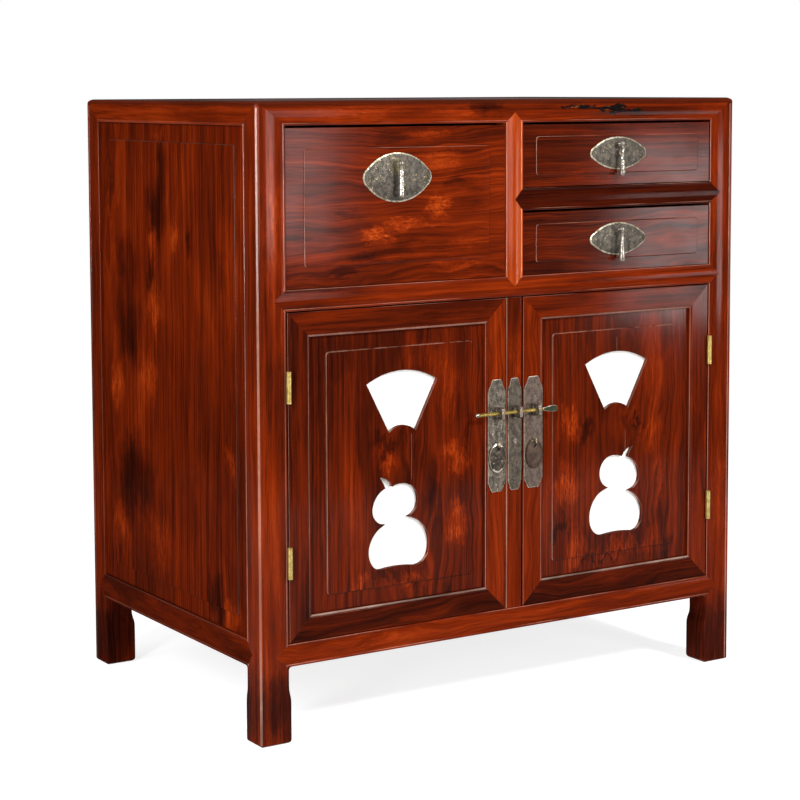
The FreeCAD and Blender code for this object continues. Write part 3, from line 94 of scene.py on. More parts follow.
# %% Shader maths
class Shade:
    """A socket of a material's nodes, with Python's operators for its maths."""

    def __init__(self, socket):
        self.socket = socket

    def node(self, kind, settings=None, inputs=None, output=0):
        tree = self.socket.id_data
        made = tree.nodes.new("ShaderNode" + kind)
        for setting, value in (settings or {}).items():
            if setting == "stops":
                set_stops(made.color_ramp, value)
            else:
                setattr(made, setting, value)
        for key, value in (inputs or {}).items():
            if isinstance(value, Shade):
                tree.links.new(value.socket, made.inputs[key])
            else:
                made.inputs[key].default_value = value
        return Shade(made.outputs[output])

    def math(self, operation, other=0.0):
        return self.node("Math", {"operation": operation}, {0: self, 1: other})

    def __add__(self, other):
        return self.math("ADD", other)

    def __sub__(self, other):
        return self.math("SUBTRACT", other)

    def __rsub__(self, other):
        return self * -1.0 + other

    def __mul__(self, other):
        return self.math("MULTIPLY", other)

    def into(self, shader, key):
        shader.id_data.links.new(self.socket, shader.inputs[key])


def set_stops(ramp, stops):
    for number, (place, colour) in enumerate(stops):
        stop = ramp.elements[number] if number < 2 else ramp.elements.new(place)
        stop.position = place
        stop.color = (*colour, 1.0)


def step(value, low, high):
    """0 below low and 1 above high, with a soft change between them. High may be the lower one."""
    ends = {"Value": value, "From Min": low, "From Max": high, "To Min": 0.0, "To Max": 1.0}
    return value.node("MapRange", {"interpolation_type": "SMOOTHSTEP"}, ends)


def vector(kind, first, second):
    return first.node("VectorMath", {"operation": kind}, {0: first, 1: second})


def length(first):
    return first.node("VectorMath", {"operation": "LENGTH"}, {0: first}, "Value")


def noise(place, scale, detail=3.0, roughness=0.55, distortion=0.0, output=0):
    """A noise pattern, stretched by a scale per metre in each direction."""
    values = {"Vector": vector("MULTIPLY", place, scale), "Scale": 1.0, "Detail": detail}
    values.update({"Roughness": roughness, "Distortion": distortion})
    return place.node("TexNoise", None, values, output)


def mix_colour(mask, first, second):
    return mask.node("Mix", {"data_type": "RGBA"}, {0: mask, 6: first, 7: second}, 2)


def new_finish(name):
    """A material's shader and its Object coordinates."""
    material = bpy.data.materials.new(name)
    material.use_nodes = True
    shader = material.node_tree.nodes["Principled BSDF"]
    place = Shade(shader.outputs[0]).node("TexCoord", output="Object")
    return material, shader, place


print("shader helpers ready")

# %% [markdown]
# The studio is a white sweep behind the cabinet in an otherwise dark room, so the lacquer stays
# deep in colour. The lamps light the wood at a plain level: a soft lamp high in front gives the
# drops their shadows, a low panel puts a haze on the upper left of the front, and a tall strip at
# the left draws the pale lines along beads and post corners. White comes from what the camera
# sees of the floor and the world, never from more light on the cabinet.

# %% Studio
scene = bpy.context.scene
scene.view_settings.view_transform = "Standard"
world = bpy.data.worlds.new("studio")
scene.world = world
world.use_nodes = True
backdrop = world.node_tree.nodes["Background"]
backdrop.inputs["Color"].default_value = (1.0, 1.0, 1.0, 1.0)
world_start = Shade(backdrop.outputs[0])


def seen(start):
    """1 for what the camera, a mirror or glass sees, and 0 for light that falls on things."""
    kinds = ("Camera", "Glossy", "Transmission")
    rays = [start.node("LightPath", output=f"Is {kind} Ray") for kind in kinds]
    return rays[0].math("MAXIMUM", rays[1]).math("MAXIMUM", rays[2])


AMBIENT = 0.17
DARK_ROOM = 0.03
toward = world_start.node("TexCoord", output="Object")
ahead = toward.node("VectorMath", {"operation": "DOT_PRODUCT"}, {0: toward, 1: tuple(forward)}, "Value")
sweep = step(ahead, 0.55, 0.85) * (1.0 - DARK_ROOM) + DARK_ROOM
is_camera = world_start.node("LightPath", output="Is Camera Ray")
sweep = sweep.math("MAXIMUM", is_camera)
shown = seen(world_start)
(shown * sweep + (1.0 - shown) * AMBIENT).into(backdrop, "Strength")


def soft_lamp(name, place, target, wide, high, power):
    data = bpy.data.lights.new(name, "AREA")
    data.shape = "RECTANGLE"
    data.size, data.size_y = wide, high
    data.energy = power
    lamp = bpy.data.objects.new(name, data)
    lamp.location = place
    lamp.rotation_euler = (Vector(target) - Vector(place)).to_track_quat("-Z", "Y").to_euler()
    scene.collection.objects.link(lamp)


soft_lamp("key", (0.8, -2.7, 2.3), (0, -0.2, 0.45), 0.3, 0.3, 70)
soft_lamp("low_panel", (0.74, -2.5, 0.80), (-0.3, -0.2, 0.6), 0.6, 0.8, 20)
soft_lamp("right_panel", (2.30, -2.5, 0.40), (0.3, -0.2, 0.45), 0.5, 0.5, 15)
soft_lamp("left_strip", (-2.45, -1.5, 1.1), (-0.3, -0.2, 0.4), 0.35, 1.7, 60)
soft_lamp("side_lamp", (-2.7, -0.5, 1.9), (-0.37, 0, 0.4), 1.0, 1.0, 22)
soft_lamp("top_light", (0, 0, 3.0), (0, 0, 0.8), 2.0, 2.0, 25)

bpy.ops.object.select_all(action="DESELECT")
bpy.ops.mesh.primitive_plane_add(size=3.0, location=(0, 0, 0))
floor = bpy.context.object
floor.name = "floor"
floor_finish, floor_shader, floor_place = new_finish("white_floor")
floor_shader.inputs["Base Color"].default_value = (0.45, 0.45, 0.45, 1.0)
floor_shader.inputs["Roughness"].default_value = 0.9
floor_shader.inputs["Specular IOR Level"].default_value = 0.0
floor_shader.inputs["Emission Color"].default_value = (1.0, 1.0, 1.0, 1.0)
camera_ray = floor_place.node("LightPath", output="Is Camera Ray")
(camera_ray * 0.68 + seen(floor_place) * 0.12).into(floor_shader, "Emission Strength")
floor.data.materials.append(floor_finish)
print("studio ready")

# %% [markdown]
# Rosewood is dark, with thin vein lines that follow its growth rings, clouds of darker
# heartwood, and orange flames round knots. A board is cut from a log, so the pattern is made
# in the log: rings round a pith line that lies beside the board, bent a little by noise. The
# board's face then shows straight lines or arches by itself, as sawn wood does.

# %% Rosewood colours
ROSEWOOD = [
    (0.00, (0.014, 0.0022, 0.0012)),
    (0.22, (0.050, 0.0055, 0.0015)),
    (0.45, (0.130, 0.0120, 0.0016)),
    (0.68, (0.255, 0.0270, 0.0030)),
    (1.00, (0.480, 0.0800, 0.0090)),
]
WORN_BROWN = (0.045, 0.0080, 0.0030, 1.0)
BARE_DARK, BARE_PALE = (0.020, 0.018, 0.017, 1.0), (0.075, 0.068, 0.064, 1.0)
WEAR_AND_HIGHLIGHT, PAINTED_EDGE_SHADE = (0.54, 0.28, 0.20, 1.0), (0.010, 0.004, 0.003, 1.0)
WORN_AND_HIGHLIGHT_LINE = (0.42, 0.30, 0.24, 1.0)
PAINTED_CRACK_SHADE, SPLINTER = (0.006, 0.004, 0.004, 1.0), (0.20, 0.07, 0.02, 1.0)
GLOSS = 0.30
print("rosewood has", len(ROSEWOOD), "colours from heartwood to flame")


# %% Figure of the log
def log_figure(log, along, off_wide, off_thick, seed):
    """Growth bands, thin veins, dark clouds and pores, from a board's distances to the pith."""
    drift = noise(log, (9, 3.0, 9), 3.0, 0.6) - 0.5
    ring_wide = off_wide + drift * 0.045
    ring = (ring_wide * ring_wide + off_thick * off_thick).math("SQRT") + drift * 0.02
    rings = log.node("CombineXYZ", None, {0: ring, 1: along, 2: drift})
    bands = noise(vector("ADD", rings, (seed, seed, seed)), (120, 1.8, 2), 5.0, 0.68)
    veins = noise(vector("ADD", rings, (seed + 5, seed, seed)), (520, 4.0, 2), 3.0, 0.6)
    cloud = noise(log, (12, 3.2, 9), 4.0, 0.62, 0.6)
    hair = noise(log, (1000, 20, 1000), 2.0, 0.5)
    return bands, veins, cloud, hair


def spot(flat, wide, along, half_wide, half_along):
    """1 at a place on a board, falling to 0 at the edge of an oval round it, all in mm."""
    away = vector("SUBTRACT", flat, (wide / 1000, along / 1000, 0))
    away = vector("DIVIDE", away, (half_wide / 1000, half_along / 1000, 1))
    return step(length(away), 1.0, 0.2)


def edge_masks(place):
    """Where the surface is an edge, where it faces left, and where it faces left or up."""
    facing = place.node("TexCoord", output="Normal")
    sides = [facing.node("SeparateXYZ", None, {0: facing}, axis) for axis in "XYZ"]
    parts = [part.math("ABSOLUTE") for part in sides]
    edge = step(parts[0].math("MAXIMUM", parts[1]).math("MAXIMUM", parts[2]), 0.93, 0.80)
    left = step(sides[0], -0.20, -0.55)
    return edge, left, left.math("MAXIMUM", step(sides[2], 0.20, 0.55))


print("figure, spots and edges ready")

# %% [markdown]
# The finish brings these together. Lacquer is the shader's coat, thin and uneven on the faces
# and full on the edges, which is what makes an edge catch a lamp. The edges that face left or up,
# towards the lamps, are painted pale, partly as wear from rubbing and partly as painted highlight.
# The other edges are painted dark as painted shade, and the top has lost its lacquer.


# %% Rosewood finish
def rosewood(
    name,
    lie,
    middle,
    seed,
    tone=0.0,
    contrast=1.0,
    pith=(60, 70),
    flames=(),
    shadows=(),
    lines=(),
    cracks=(),
    curls=(420, 60),
    weathered=False,
    lacquer=0.14,
    rub=1.0,
    groove=0.0,
):
    """Lacquered rosewood. lie names the axes along, across and through the board.

    Edges that face left or up are painted pale, partly as wear from rubbing and partly as painted
    highlight, and the other edges are painted dark as painted shade, each as much as an argument says."""
    material, shader, place = new_finish(name)
    axes = {axis: place.node("SeparateXYZ", None, {0: place}, axis.upper()) for axis in "xyz"}
    along, wide, thick = (axes[axis] for axis in lie)
    centre = dict(zip("xyz", middle))
    sawn = place.node("CombineXYZ", None, {0: wide, 1: along, 2: thick})
    log = vector("ADD", sawn, (seed * 1.37, seed * 2.11, seed * 0.73))
    off_wide = wide - (centre[lie[1]] + pith[0] / 1000)
    off_thick = thick - (centre[lie[2]] + pith[1] / 1000)
    bands, veins, cloud, hair = log_figure(log, along, off_wide, off_thick, seed)

    ragged = noise(log, (60, 22, 60), 4.0, 0.7, 0.0, "Color")
    ragged = vector("MULTIPLY", vector("SUBTRACT", ragged, (0.5, 0.5, 0.5)), (0.030, 0.11, 0))
    flat = vector("ADD", vector("MULTIPLY", sawn, (1, 1, 0)), ragged)
    curl = noise(log, (curls[0], curls[1], curls[0]), 4.0, 0.65, 1.2)
    shift = (bands - 0.5) * (0.72 * contrast) + (veins - 0.5) * (0.62 * contrast)
    shift = shift + (cloud - 0.5) * (0.62 * contrast) - step(hair, 0.54, 0.72) * 0.15
    for wide_at, along_at, half_wide, half_along, strength in flames:
        glow = spot(flat, wide_at, along_at, half_wide, half_along)
        shift = shift + glow * (curl * 1.6 - 0.5) * strength
    for wide_at, along_at, half_wide, half_along, strength in shadows:
        shift = shift - spot(flat, wide_at, along_at, half_wide, half_along) * strength
    value = shift + (0.42 + tone)
    colour = value.node("ValToRGB", {"stops": ROSEWOOD}, {0: value})

    edge, left, lit = edge_masks(place)
    if weathered:
        edge = edge * step(axes["z"], 0.7722, 0.7712)
    grit = step(noise(log, (110, 110, 110), 5.0, 0.75), 0.36, 0.62)
    rubbed = step(noise(log, (26, 7, 26), 3.0, 0.6), 0.38, 0.60) * (grit * 0.35 + 0.65)
    # Painted shade: edges that face away from the lamps, to the right and down, are painted dark.
    colour = mix_colour(edge * (1.0 - lit * rub) * groove, colour, PAINTED_EDGE_SHADE)
    # Painted highlight with some wear: edges that face left or up, towards the lamps, are painted pale.
    pale = (rubbed * (lit * 0.42 + 0.08)).math("MAXIMUM", left * (rubbed * 0.30 + 0.22))
    colour = mix_colour(edge * pale * rub, colour, WEAR_AND_HIGHLIGHT)
    # Pale lines along beads and edges, partly wear from rubbing and partly painted highlight.
    for axis, line_at, half_line, strength, low, high in lines:
        gap = (axes[axis] - line_at / 1000).math("ABSOLUTE")
        mask = step(gap, half_line / 1000, half_line / 2500) * (rubbed * 0.7 + 0.3) * strength
        mask = mask * step(along, low / 1000, (low + 3) / 1000)
        mask = mask * step(along, high / 1000, (high - 3) / 1000)
        colour = mix_colour(mask, colour, WORN_AND_HIGHLIGHT_LINE)
    height = veins * 0.35 - step(hair, 0.56, 0.72)
    for wide_at, along_at, half_wide, half_along in cracks:
        torn = spot(flat, wide_at, along_at, half_wide, half_along)
        torn = step(torn + (grit - 0.5) * 0.2 + (curl - 0.5), 0.36, 0.46)
        # The crack's inside is painted near black as painted shade of the hole, with splinter colour
        # round it.
        colour = mix_colour(torn, colour, mix_colour(step(curl, 0.60, 0.68), PAINTED_CRACK_SHADE, SPLINTER))
        height = height - torn * 4.0
    coat = (noise(log, (26, 14, 26), 4.0, 0.65) * 1.6 + 0.2) * lacquer
    coat = coat + edge * ((1.0 - lacquer) * rub)
    rough = step(hair, 0.5, 0.75) * 0.16 + (bands - 0.5) * 0.12 + GLOSS
    if weathered:
        colour = mix_colour(step(axes["z"], 0.7712, 0.7760) * 0.65, colour, WORN_BROWN)
        bare = step(axes["z"], 0.7789, 0.7797)
        colour = mix_colour(bare, colour, mix_colour(hair, BARE_DARK, BARE_PALE))
        coat = coat * (1.0 - bare)
        rough = rough + bare * 0.35
    colour.into(shader, "Base Color")
    coat.into(shader, "Coat Weight")
    rough.into(shader, "Roughness")
    normal = {"Strength": 0.22, "Distance": 0.0004, "Height": height}
    height.node("Bump", None, normal).into(shader, "Normal")
    shader.inputs["Specular IOR Level"].default_value = 0.0
    shader.inputs["Coat Roughness"].default_value = 0.10
    shader.inputs["Coat IOR"].default_value = 1.50
    return material


print("rosewood ready")

# %% [markdown]
# Real edges are never quite sharp: planed and polished wood has a hair of rounding that catches
# the light. The CAD meshes are loose triangles, so each is welded, its flat faces are dissolved
# into whole ones, and its edges get a small bevel. All three are modifiers, which leave the
# CAD mesh itself as it is.


# %% Soft edges on the CAD pieces
SHARP_ANGLE = math.radians(32.0)
WOOD_ROUNDING, BRASS_ROUNDING = 0.0004, 0.0002


def soften(name, rounding):
    piece = nodes[name]
    for face in piece.data.polygons:
        face.use_smooth = True
    weld = piece.modifiers.new("weld", "WELD")
    weld.merge_threshold = 0.00001
    flatten = piece.modifiers.new("flatten", "DECIMATE")
    flatten.decimate_type = "DISSOLVE"
    flatten.angle_limit = math.radians(0.3)
    edge = piece.modifiers.new("edge", "BEVEL")
    edge.width = rounding
    edge.segments = 2
    edge.limit_method = "ANGLE"
    edge.angle_limit = SHARP_ANGLE
    edge.use_clamp_overlap = True
    normals = piece.modifiers.new("normals", "WEIGHTED_NORMAL")
    normals.weight = 100


def finish_node(name, material, rounding=WOOD_ROUNDING):
    piece = nodes[name]
    piece.data.materials.clear()
    piece.data.materials.append(material)
    soften(name, rounding)


def middle_of(name):
    low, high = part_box(name)
    return (low + high) / 2


print("wood is rounded by", WOOD_ROUNDING * 1000, "mm and brass by", BRASS_ROUNDING * 1000, "mm")

# %% [markdown]
# No two boards look alike, so each gets a finish of its own: where its pith lay, how dark it is,
# and where flames and shadows sit, in mm across and along the board. A place and two half widths
# are enough, because the finish gives every spot a ragged outline.

# %% Posts, rails and uprights
SEEDS = random.Random(11)


def board(name, lie, **look):
    """Gives a CAD board its own rosewood, cut from its own part of the log."""
    seed = round(SEEDS.uniform(1, 60), 2)
    finish_node(name, rosewood(f"{name}_wood", lie, middle_of(name), seed, **look))


# The front posts and the back left post get a dark spot at the foot, as the front is made darker towards
# the bottom.
board(
    "front_left_post",
    "zxy",
    weathered=True,
    tone=0.0,
    pith=(30, 45),
    lacquer=0.14,
    flames=[(-350, 640, 16, 110, 0.45), (-345, 240, 14, 130, 0.10)],
    shadows=[(-345, 400, 24, 130, 0.16), (-345, 190, 24, 110, 0.08), (-350, 40, 60, 70, 0.32)],
)
board(
    "front_right_post",
    "zxy",
    weathered=True,
    tone=-0.02,
    pith=(-40, 40),
    lacquer=0.11,
    flames=[(350, 230, 16, 110, 0.35), (340, 650, 10, 100, 0.35)],
    shadows=[(350, 40, 60, 70, 0.28)],
)
board(
    "back_left_post",
    "zxy",
    weathered=True,
    tone=-0.02,
    pith=(35, -30),
    lacquer=0.03,
    rub=0.3,
    shadows=[(-350, 40, 60, 80, 0.3)],
)
board("back_right_post", "zxy", weathered=True, pith=(-30, -45))
board(
    "top_front_rail",
    "xzy",
    weathered=True,
    cracks=[(769.0, 112, 5.5, 40), (768.0, 150, 5.0, 44), (765.5, 190, 3.4, 34)],
    tone=0.05,
    pith=(25, 30),
    lacquer=0.05,
    flames=[(765, -230, 14, 110, 0.40), (765, -90, 12, 60, 0.30)],
    shadows=[(768, 240, 30, 130, 0.16), (768, -40, 12, 35, 0.25)],
)
board("top_left_rail", "yzx", weathered=True, tone=0.03, pith=(20, 30), lacquer=0.03, rub=0.3)
board("top_right_rail", "yzx", weathered=True, pith=(20, -30))
board("top_back_rail", "xzy", weathered=True, pith=(20, -30))
board("middle_rail", "xzy", tone=0.0, pith=(25, 40), lacquer=0.06)
foot_flame = (110, -190, 8, 70, 0.3)
board("bottom_front_rail", "xzy", tone=0.03, pith=(-25, 40), lacquer=0.06, flames=[foot_flame])
board("bottom_back_rail", "xzy", pith=(-25, -40))
board("bottom_side_rails", "yzx", tone=-0.14, pith=(-30, 40), lacquer=0.02, rub=0.3)
board("drawer_upright", "zxy", tone=0.39, contrast=0.8, pith=(15, 25), lacquer=0.10)
board("drawer_divider", "xzy", tone=-0.30, contrast=0.7, pith=(30, 35), lacquer=0.05)
board("door_upright", "zxy", tone=-0.06, pith=(15, 25), lacquer=0.04, flames=[(5, 450, 16, 60, 0.4)])
print("frame finished")

# %% [markdown]
# The left side panel is the largest board in view, with flames and dark clouds down its length.
# The right side and the back can't be seen in the photo, so they get a plainer figure.

# %% Side, back and top boards
board(
    "left_side_panel",
    "zyx",
    groove=0.7,
    tone=-0.04,
    pith=(150, 60),
    lacquer=0.02,
    rub=0.2,
    flames=[
        (-8, 605, 22, 34, 0.75),
        (54, 596, 16, 36, 0.70),
        (50, 508, 40, 38, 0.65),
        (172, 395, 34, 42, 0.80),
        (69, 419, 36, 46, 0.60),
        (39, 736, 26, 16, 0.45),
        (-155, 338, 22, 24, 0.70),
        (164, 200, 50, 44, 0.55),
        (44, 205, 60, 50, 0.55),
        (-156, 141, 36, 28, 0.70),
        (-150, 560, 24, 170, 0.22),
        (-60, 330, 40, 120, 0.16),
        (0, 700, 170, 60, 0.12),
    ],
    shadows=[
        (24, 690, 16, 50, 0.20),
        (45, 642, 42, 48, 0.24),
        (130, 562, 56, 62, 0.22),
        (60, 550, 16, 26, 0.22),
        (127, 474, 52, 70, 0.26),
        (-48, 603, 12, 22, 0.20),
        (-138, 571, 22, 40, 0.12),
        (120, 280, 80, 70, 0.28),
        (-115, 160, 35, 40, 0.22),
        (190, 330, 20, 200, 0.10),
        (-100, 330, 150, 200, 0.10),
    ],
)
board("right_side_panel", "zyx", pith=(-110, -60), shadows=[(-20, 480, 90, 120, 0.3)])
board("back_panel", "xzy", tone=-0.1, pith=(60, -80))
board("top_panel", "xyz", tone=-0.12, pith=(80, 60), weathered=True)
board("top_panel_battens", "yxz")
board("drawer_partition", "yzx")
board("drawer_deck", "xyz")
board("drawer_runners", "yxz")
board("bottom_board", "xyz")
print("boards finished")

# %% [markdown]
# The wide drawer front is lively, with flames round its knots and dark clouds between them. The
# two small fronts are darker and quieter.

# %% Drawer fronts
board(
    "left_drawer_front",
    "xzy",
    groove=0.7,
    tone=-0.045,
    pith=(-130, 60),
    curls=(420, 130),
    flames=[
        (648, -112, 22, 30, 1.0),
        (617, -205, 18, 24, 1.0),
        (626, -165, 9, 36, 0.8),
        (706, -112, 20, 40, 0.45),
        (735, -125, 12, 40, 0.5),
        (571, -85, 8, 70, 0.45),
        (600, -70, 14, 40, 0.3),
    ],
    shadows=[
        (617, -312, 8, 22, 0.16),
        (641, -240, 12, 26, 0.12),
        (601, -162, 16, 34, 0.14),
        (588, -222, 10, 36, 0.15),
        (570, -254, 8, 26, 0.16),
        (735, -180, 14, 40, 0.12),
        (680, -80, 12, 30, 0.15),
        (690, -60, 70, 40, 0.10),
    ],
)
upper_flame, lower_flame = (680, 120, 8, 90, 0.25), (590, 260, 16, 40, 0.35)
board("upper_drawer_front", "xzy", groove=0.7, tone=-0.14, pith=(60, 50), flames=[upper_flame])
board("lower_drawer_front", "xzy", groove=0.7, tone=-0.17, pith=(-60, 50), flames=[lower_flame])
print("drawer fronts finished")

# %% [markdown]
# The doors have mitred frames, and each of the eight frame boards has its own depth of colour. A
# pale line runs along the inner bead of each rail, partly wear from rubbing and partly painted
# highlight. The panels are the boards that a joiner chose for their flames, so these get the most
# spots, on both sides of the pierced shapes.

# %% Door frames
TOP_LINE, FOOT_LINE = ("z", 497.1, 1.0, 0.35, -330, 330), ("z", 153.7, 1.6, 0.75, -330, 330)
# The bottom rails get the darkest tones, as the front is made darker towards the bottom.
for side, hinge_tone, meeting_tone, top_tone, foot_tone in (
    ("left", -0.15, 0.02, -0.12, -0.26),
    ("right", -0.04, 0.04, -0.07, -0.29),
):
    board(f"{side}_door_hinge_stile", "zxy", tone=hinge_tone, pith=(20, 30))
    board(f"{side}_door_meeting_stile", "zxy", tone=meeting_tone, pith=(-20, 30), lacquer=0.05)
    top = {"tone": top_tone, "pith": (20, 30), "lacquer": 0.09, "lines": [TOP_LINE]}
    foot = {"tone": foot_tone, "pith": (-20, 30), "lacquer": 0.05, "lines": [FOOT_LINE]}
    board(f"{side}_door_top_rail", "xzy", **top)
    board(f"{side}_door_bottom_rail", "xzy", **foot)
print("door frames finished")

# %% Door panels
board(
    "left_door_panel",
    "zxy",
    groove=0.7,
    tone=-0.15,
    pith=(-10, 70),
    flames=[
        (-85, 330, 34, 22, 0.80),
        (-186, 330, 26, 16, 0.75),
        (-82, 242, 28, 34, 0.80),
        (-224, 185, 20, 14, 0.70),
        (-154, 178, 40, 10, 0.60),
        (-130, 456, 50, 38, 0.35),
        (-95, 421, 30, 50, 0.35),
        (-240, 300, 20, 110, 0.15),
    ],
    shadows=[
        (-186, 354, 34, 14, 0.16),
        (-121, 284, 24, 28, 0.14),
        (-189, 196, 30, 10, 0.16),
        (-255, 470, 40, 40, 0.10),
        (-67, 353, 10, 26, 0.12),
    ],
    lines=[("x", -150.5, 0.45, 0.5, 306, 366)],
)
board(
    "right_door_panel",
    "zxy",
    groove=0.7,
    tone=-0.11,
    lacquer=0.18,
    pith=(10, 70),
    flames=[
        (97, 352, 26, 30, 0.8),
        (240, 335, 30, 40, 0.45),
        (89, 270, 34, 36, 0.8),
        (110, 190, 24, 30, 0.75),
        (175, 178, 60, 16, 0.65),
        (232, 184, 30, 20, 0.5),
        (250, 263, 20, 60, 0.5),
        (189, 355, 30, 14, 0.4),
        (235, 420, 40, 70, 0.25),
    ],
    shadows=[
        (125, 345, 16, 20, 0.22),
        (210, 345, 16, 10, 0.2),
        (80, 215, 26, 14, 0.2),
        (150, 168, 60, 6, 0.2),
        (262, 460, 22, 50, 0.1),
        (262, 175, 16, 24, 0.2),
        (170, 195, 110, 46, 0.11),
    ],
    lines=[("x", 174.0, 0.45, 0.4, 430, 466), ("x", 189.0, 0.45, 0.45, 300, 340)],
)
print("door panels finished")

# %% [markdown]
# The boxes inside the drawers are plain softwood without lacquer: pale, dull and with wide soft
# grain. The boards behind the pierced shapes have a face painted warm white and a bare back.


# %% Plain wood and painted board
def plain_wood(name, lie):
    material, shader, place = new_finish(name)
    axes = {axis: place.node("SeparateXYZ", None, {0: place}, axis.upper()) for axis in "xyz"}
    along, wide, thick = (axes[axis] for axis in lie)
    board_place = place.node("CombineXYZ", None, {0: wide, 1: along, 2: thick})
    grain = noise(board_place, (70, 2.5, 70), 4.0, 0.6)
    fibre = noise(board_place, (900, 20, 900), 2.0)
    value = grain * 0.8 + fibre * 0.3
    stops = [(0.35, (0.20, 0.105, 0.045)), (0.55, (0.36, 0.21, 0.10)), (0.75, (0.47, 0.30, 0.16))]
    value.node("ValToRGB", {"stops": stops}, {0: value}).into(shader, "Base Color")
    (fibre * 0.2 + 0.55).into(shader, "Roughness")
    bump = {"Strength": 0.2, "Distance": 0.0004, "Height": value}
    value.node("Bump", None, bump).into(shader, "Normal")
    return material


def white_paint(name):
    material, shader, place = new_finish(name)
    brushed = noise(place, (260, 260, 14), 3.0)
    cloudy = noise(place, (9, 9, 9), 2.0)
    colour = mix_colour(step(cloudy, 0.35, 0.65), (0.93, 0.90, 0.85, 1.0), (0.96, 0.94, 0.90, 1.0))
    facing = place.node("TexCoord", output="Normal")
    bare = step(facing.node("SeparateXYZ", None, {0: facing}, "Y"), 0.2, 0.6)
    grain = noise(place, (70, 70, 2.5), 4.0, 0.6)
    wood = mix_colour(step(grain, 0.35, 0.70), (0.22, 0.12, 0.055, 1.0), (0.42, 0.26, 0.135, 1.0))
    mix_colour(bare, colour, wood).into(shader, "Base Color")
    (brushed * 0.15 + 0.5).into(shader, "Roughness")
    bump = {"Strength": 0.1, "Distance": 0.0003, "Height": brushed}
    brushed.node("Bump", None, bump).into(shader, "Normal")
    return material


drawer_wood = plain_wood("drawer_box_wood", "yxz")
for which in ("left", "upper", "lower"):
    finish_node(f"{which}_drawer_box", drawer_wood)
pane_paint = white_paint("pane_paint")
for side in ("left", "right"):
    finish_node(f"{side}_door_pane", pane_paint)
print("inner pieces finished")

# %% [markdown]
# Old brass has two faces: a brown-green skin where air and polish have settled, and bright metal
# where hands and files keep it bare. One finish mixes both by noise, and a second, brighter one
# goes on filed edges and on what is handled.


# %% Brass
def brass(name, dark, light, bare, bare_from, rough=0.38, bumps=0.3):
    """Patinated brass: dark and light skin in clouds, bare metal where a noise passes bare_from."""
    material, shader, place = new_finish(name)
    patches = noise(place, (150, 150, 110), 5.0, 0.72)
    speckle = noise(place, (1300, 1300, 1300), 3.0, 0.75)
    worn = noise(place, (260, 260, 260), 5.0, 0.75)
    skin = mix_colour(step(patches + (speckle - 0.5) * 0.6, 0.38, 0.64), (*dark, 1.0), (*light, 1.0))
    mask = step(worn + (speckle - 0.5) * 0.5, bare_from, bare_from + 0.08)
    mask = mask.math("MAXIMUM", step(speckle, 0.66, 0.76) * 0.7)
    mix_colour(mask, skin, (*bare, 1.0)).into(shader, "Base Color")
    (mask * -0.12 + speckle * 0.25 + rough).into(shader, "Roughness")
    (mask * 0.35 + 0.65).into(shader, "Metallic")
    dents = patches + speckle * 0.5
    bump = {"Strength": bumps, "Distance": 0.0004, "Height": dents}
    dents.node("Bump", None, bump).into(shader, "Normal")
    return material


BRASSES = {
    "plate_patina": ((0.031, 0.027, 0.022), (0.128, 0.107, 0.085), (0.48, 0.38, 0.22), 0.60),
    "filed_plate_edge": ((0.13, 0.105, 0.055), (0.50, 0.43, 0.30), (0.80, 0.74, 0.60), 0.50, 0.30),
    "worn_washer": ((0.09, 0.075, 0.04), (0.24, 0.20, 0.115), (0.50, 0.43, 0.28), 0.60),
    "left_lock_patina": ((0.042, 0.034, 0.025), (0.17, 0.139, 0.106), (0.56, 0.48, 0.39), 0.61),
    "centre_lock_patina": ((0.034, 0.027, 0.019), (0.118, 0.092, 0.068), (0.32, 0.26, 0.19), 0.62),
    "right_lock_patina": ((0.060, 0.041, 0.031), (0.150, 0.106, 0.082), (0.36, 0.28, 0.22), 0.64),
    "left_pull_patina": ((0.022, 0.017, 0.012), (0.088, 0.066, 0.046), (0.48, 0.39, 0.28), 0.60),
    "right_pull_patina": ((0.040, 0.023, 0.015), (0.095, 0.058, 0.040), (0.22, 0.15, 0.11), 0.64),
    "lug_brass": ((0.085, 0.066, 0.05), (0.24, 0.19, 0.15), (0.66, 0.56, 0.46), 0.56, 0.30),
    "rubbed_lock_brass": ((0.13, 0.11, 0.08), (0.46, 0.39, 0.30), (0.86, 0.78, 0.66), 0.46, 0.32),
    "ochre_rod": ((0.24, 0.16, 0.03), (0.50, 0.35, 0.075), (0.76, 0.60, 0.26), 0.56, 0.26),
    "pale_gold": ((0.34, 0.25, 0.14), (0.68, 0.54, 0.36), (0.92, 0.80, 0.60), 0.50, 0.24),
    "dark_leaf": ((0.016, 0.022, 0.010), (0.045, 0.055, 0.025), (0.14, 0.13, 0.06), 0.66),
    "yellow_hinge": ((0.36, 0.24, 0.055), (0.60, 0.44, 0.13), (0.80, 0.66, 0.32), 0.55, 0.30),
}
brasses = {name: brass(name, *skins) for name, skins in BRASSES.items()}
drop_skins = (0.11, 0.095, 0.075), (0.36, 0.32, 0.26), (0.78, 0.72, 0.62)
drop_brass = brass("pale_drop", *drop_skins, 0.52, 0.20, bumps=0.12)
lug_brass, lock_edge = brasses["lug_brass"], brasses["rubbed_lock_brass"]
for name in ("post_hinge_leaves", "left_door_hinge_leaves", "right_door_hinge_leaves", "hinge_pins"):
    finish_node(name, brasses["yellow_hinge"], BRASS_ROUNDING)
print("brass finished")

# %% [markdown]
# The fittings are cut, bent and turned brass. A few helpers do what a metal worker does: draw an
# outline on sheet and cut it out, file its edge down, turn a bar on a lathe, and bend a wire.
# Each works with Blender's own modelling operators on a mesh that starts from a primitive.


# %% Starting, joining and cutting a piece
def mm(*values):
    return tuple(value / 1000 for value in values)


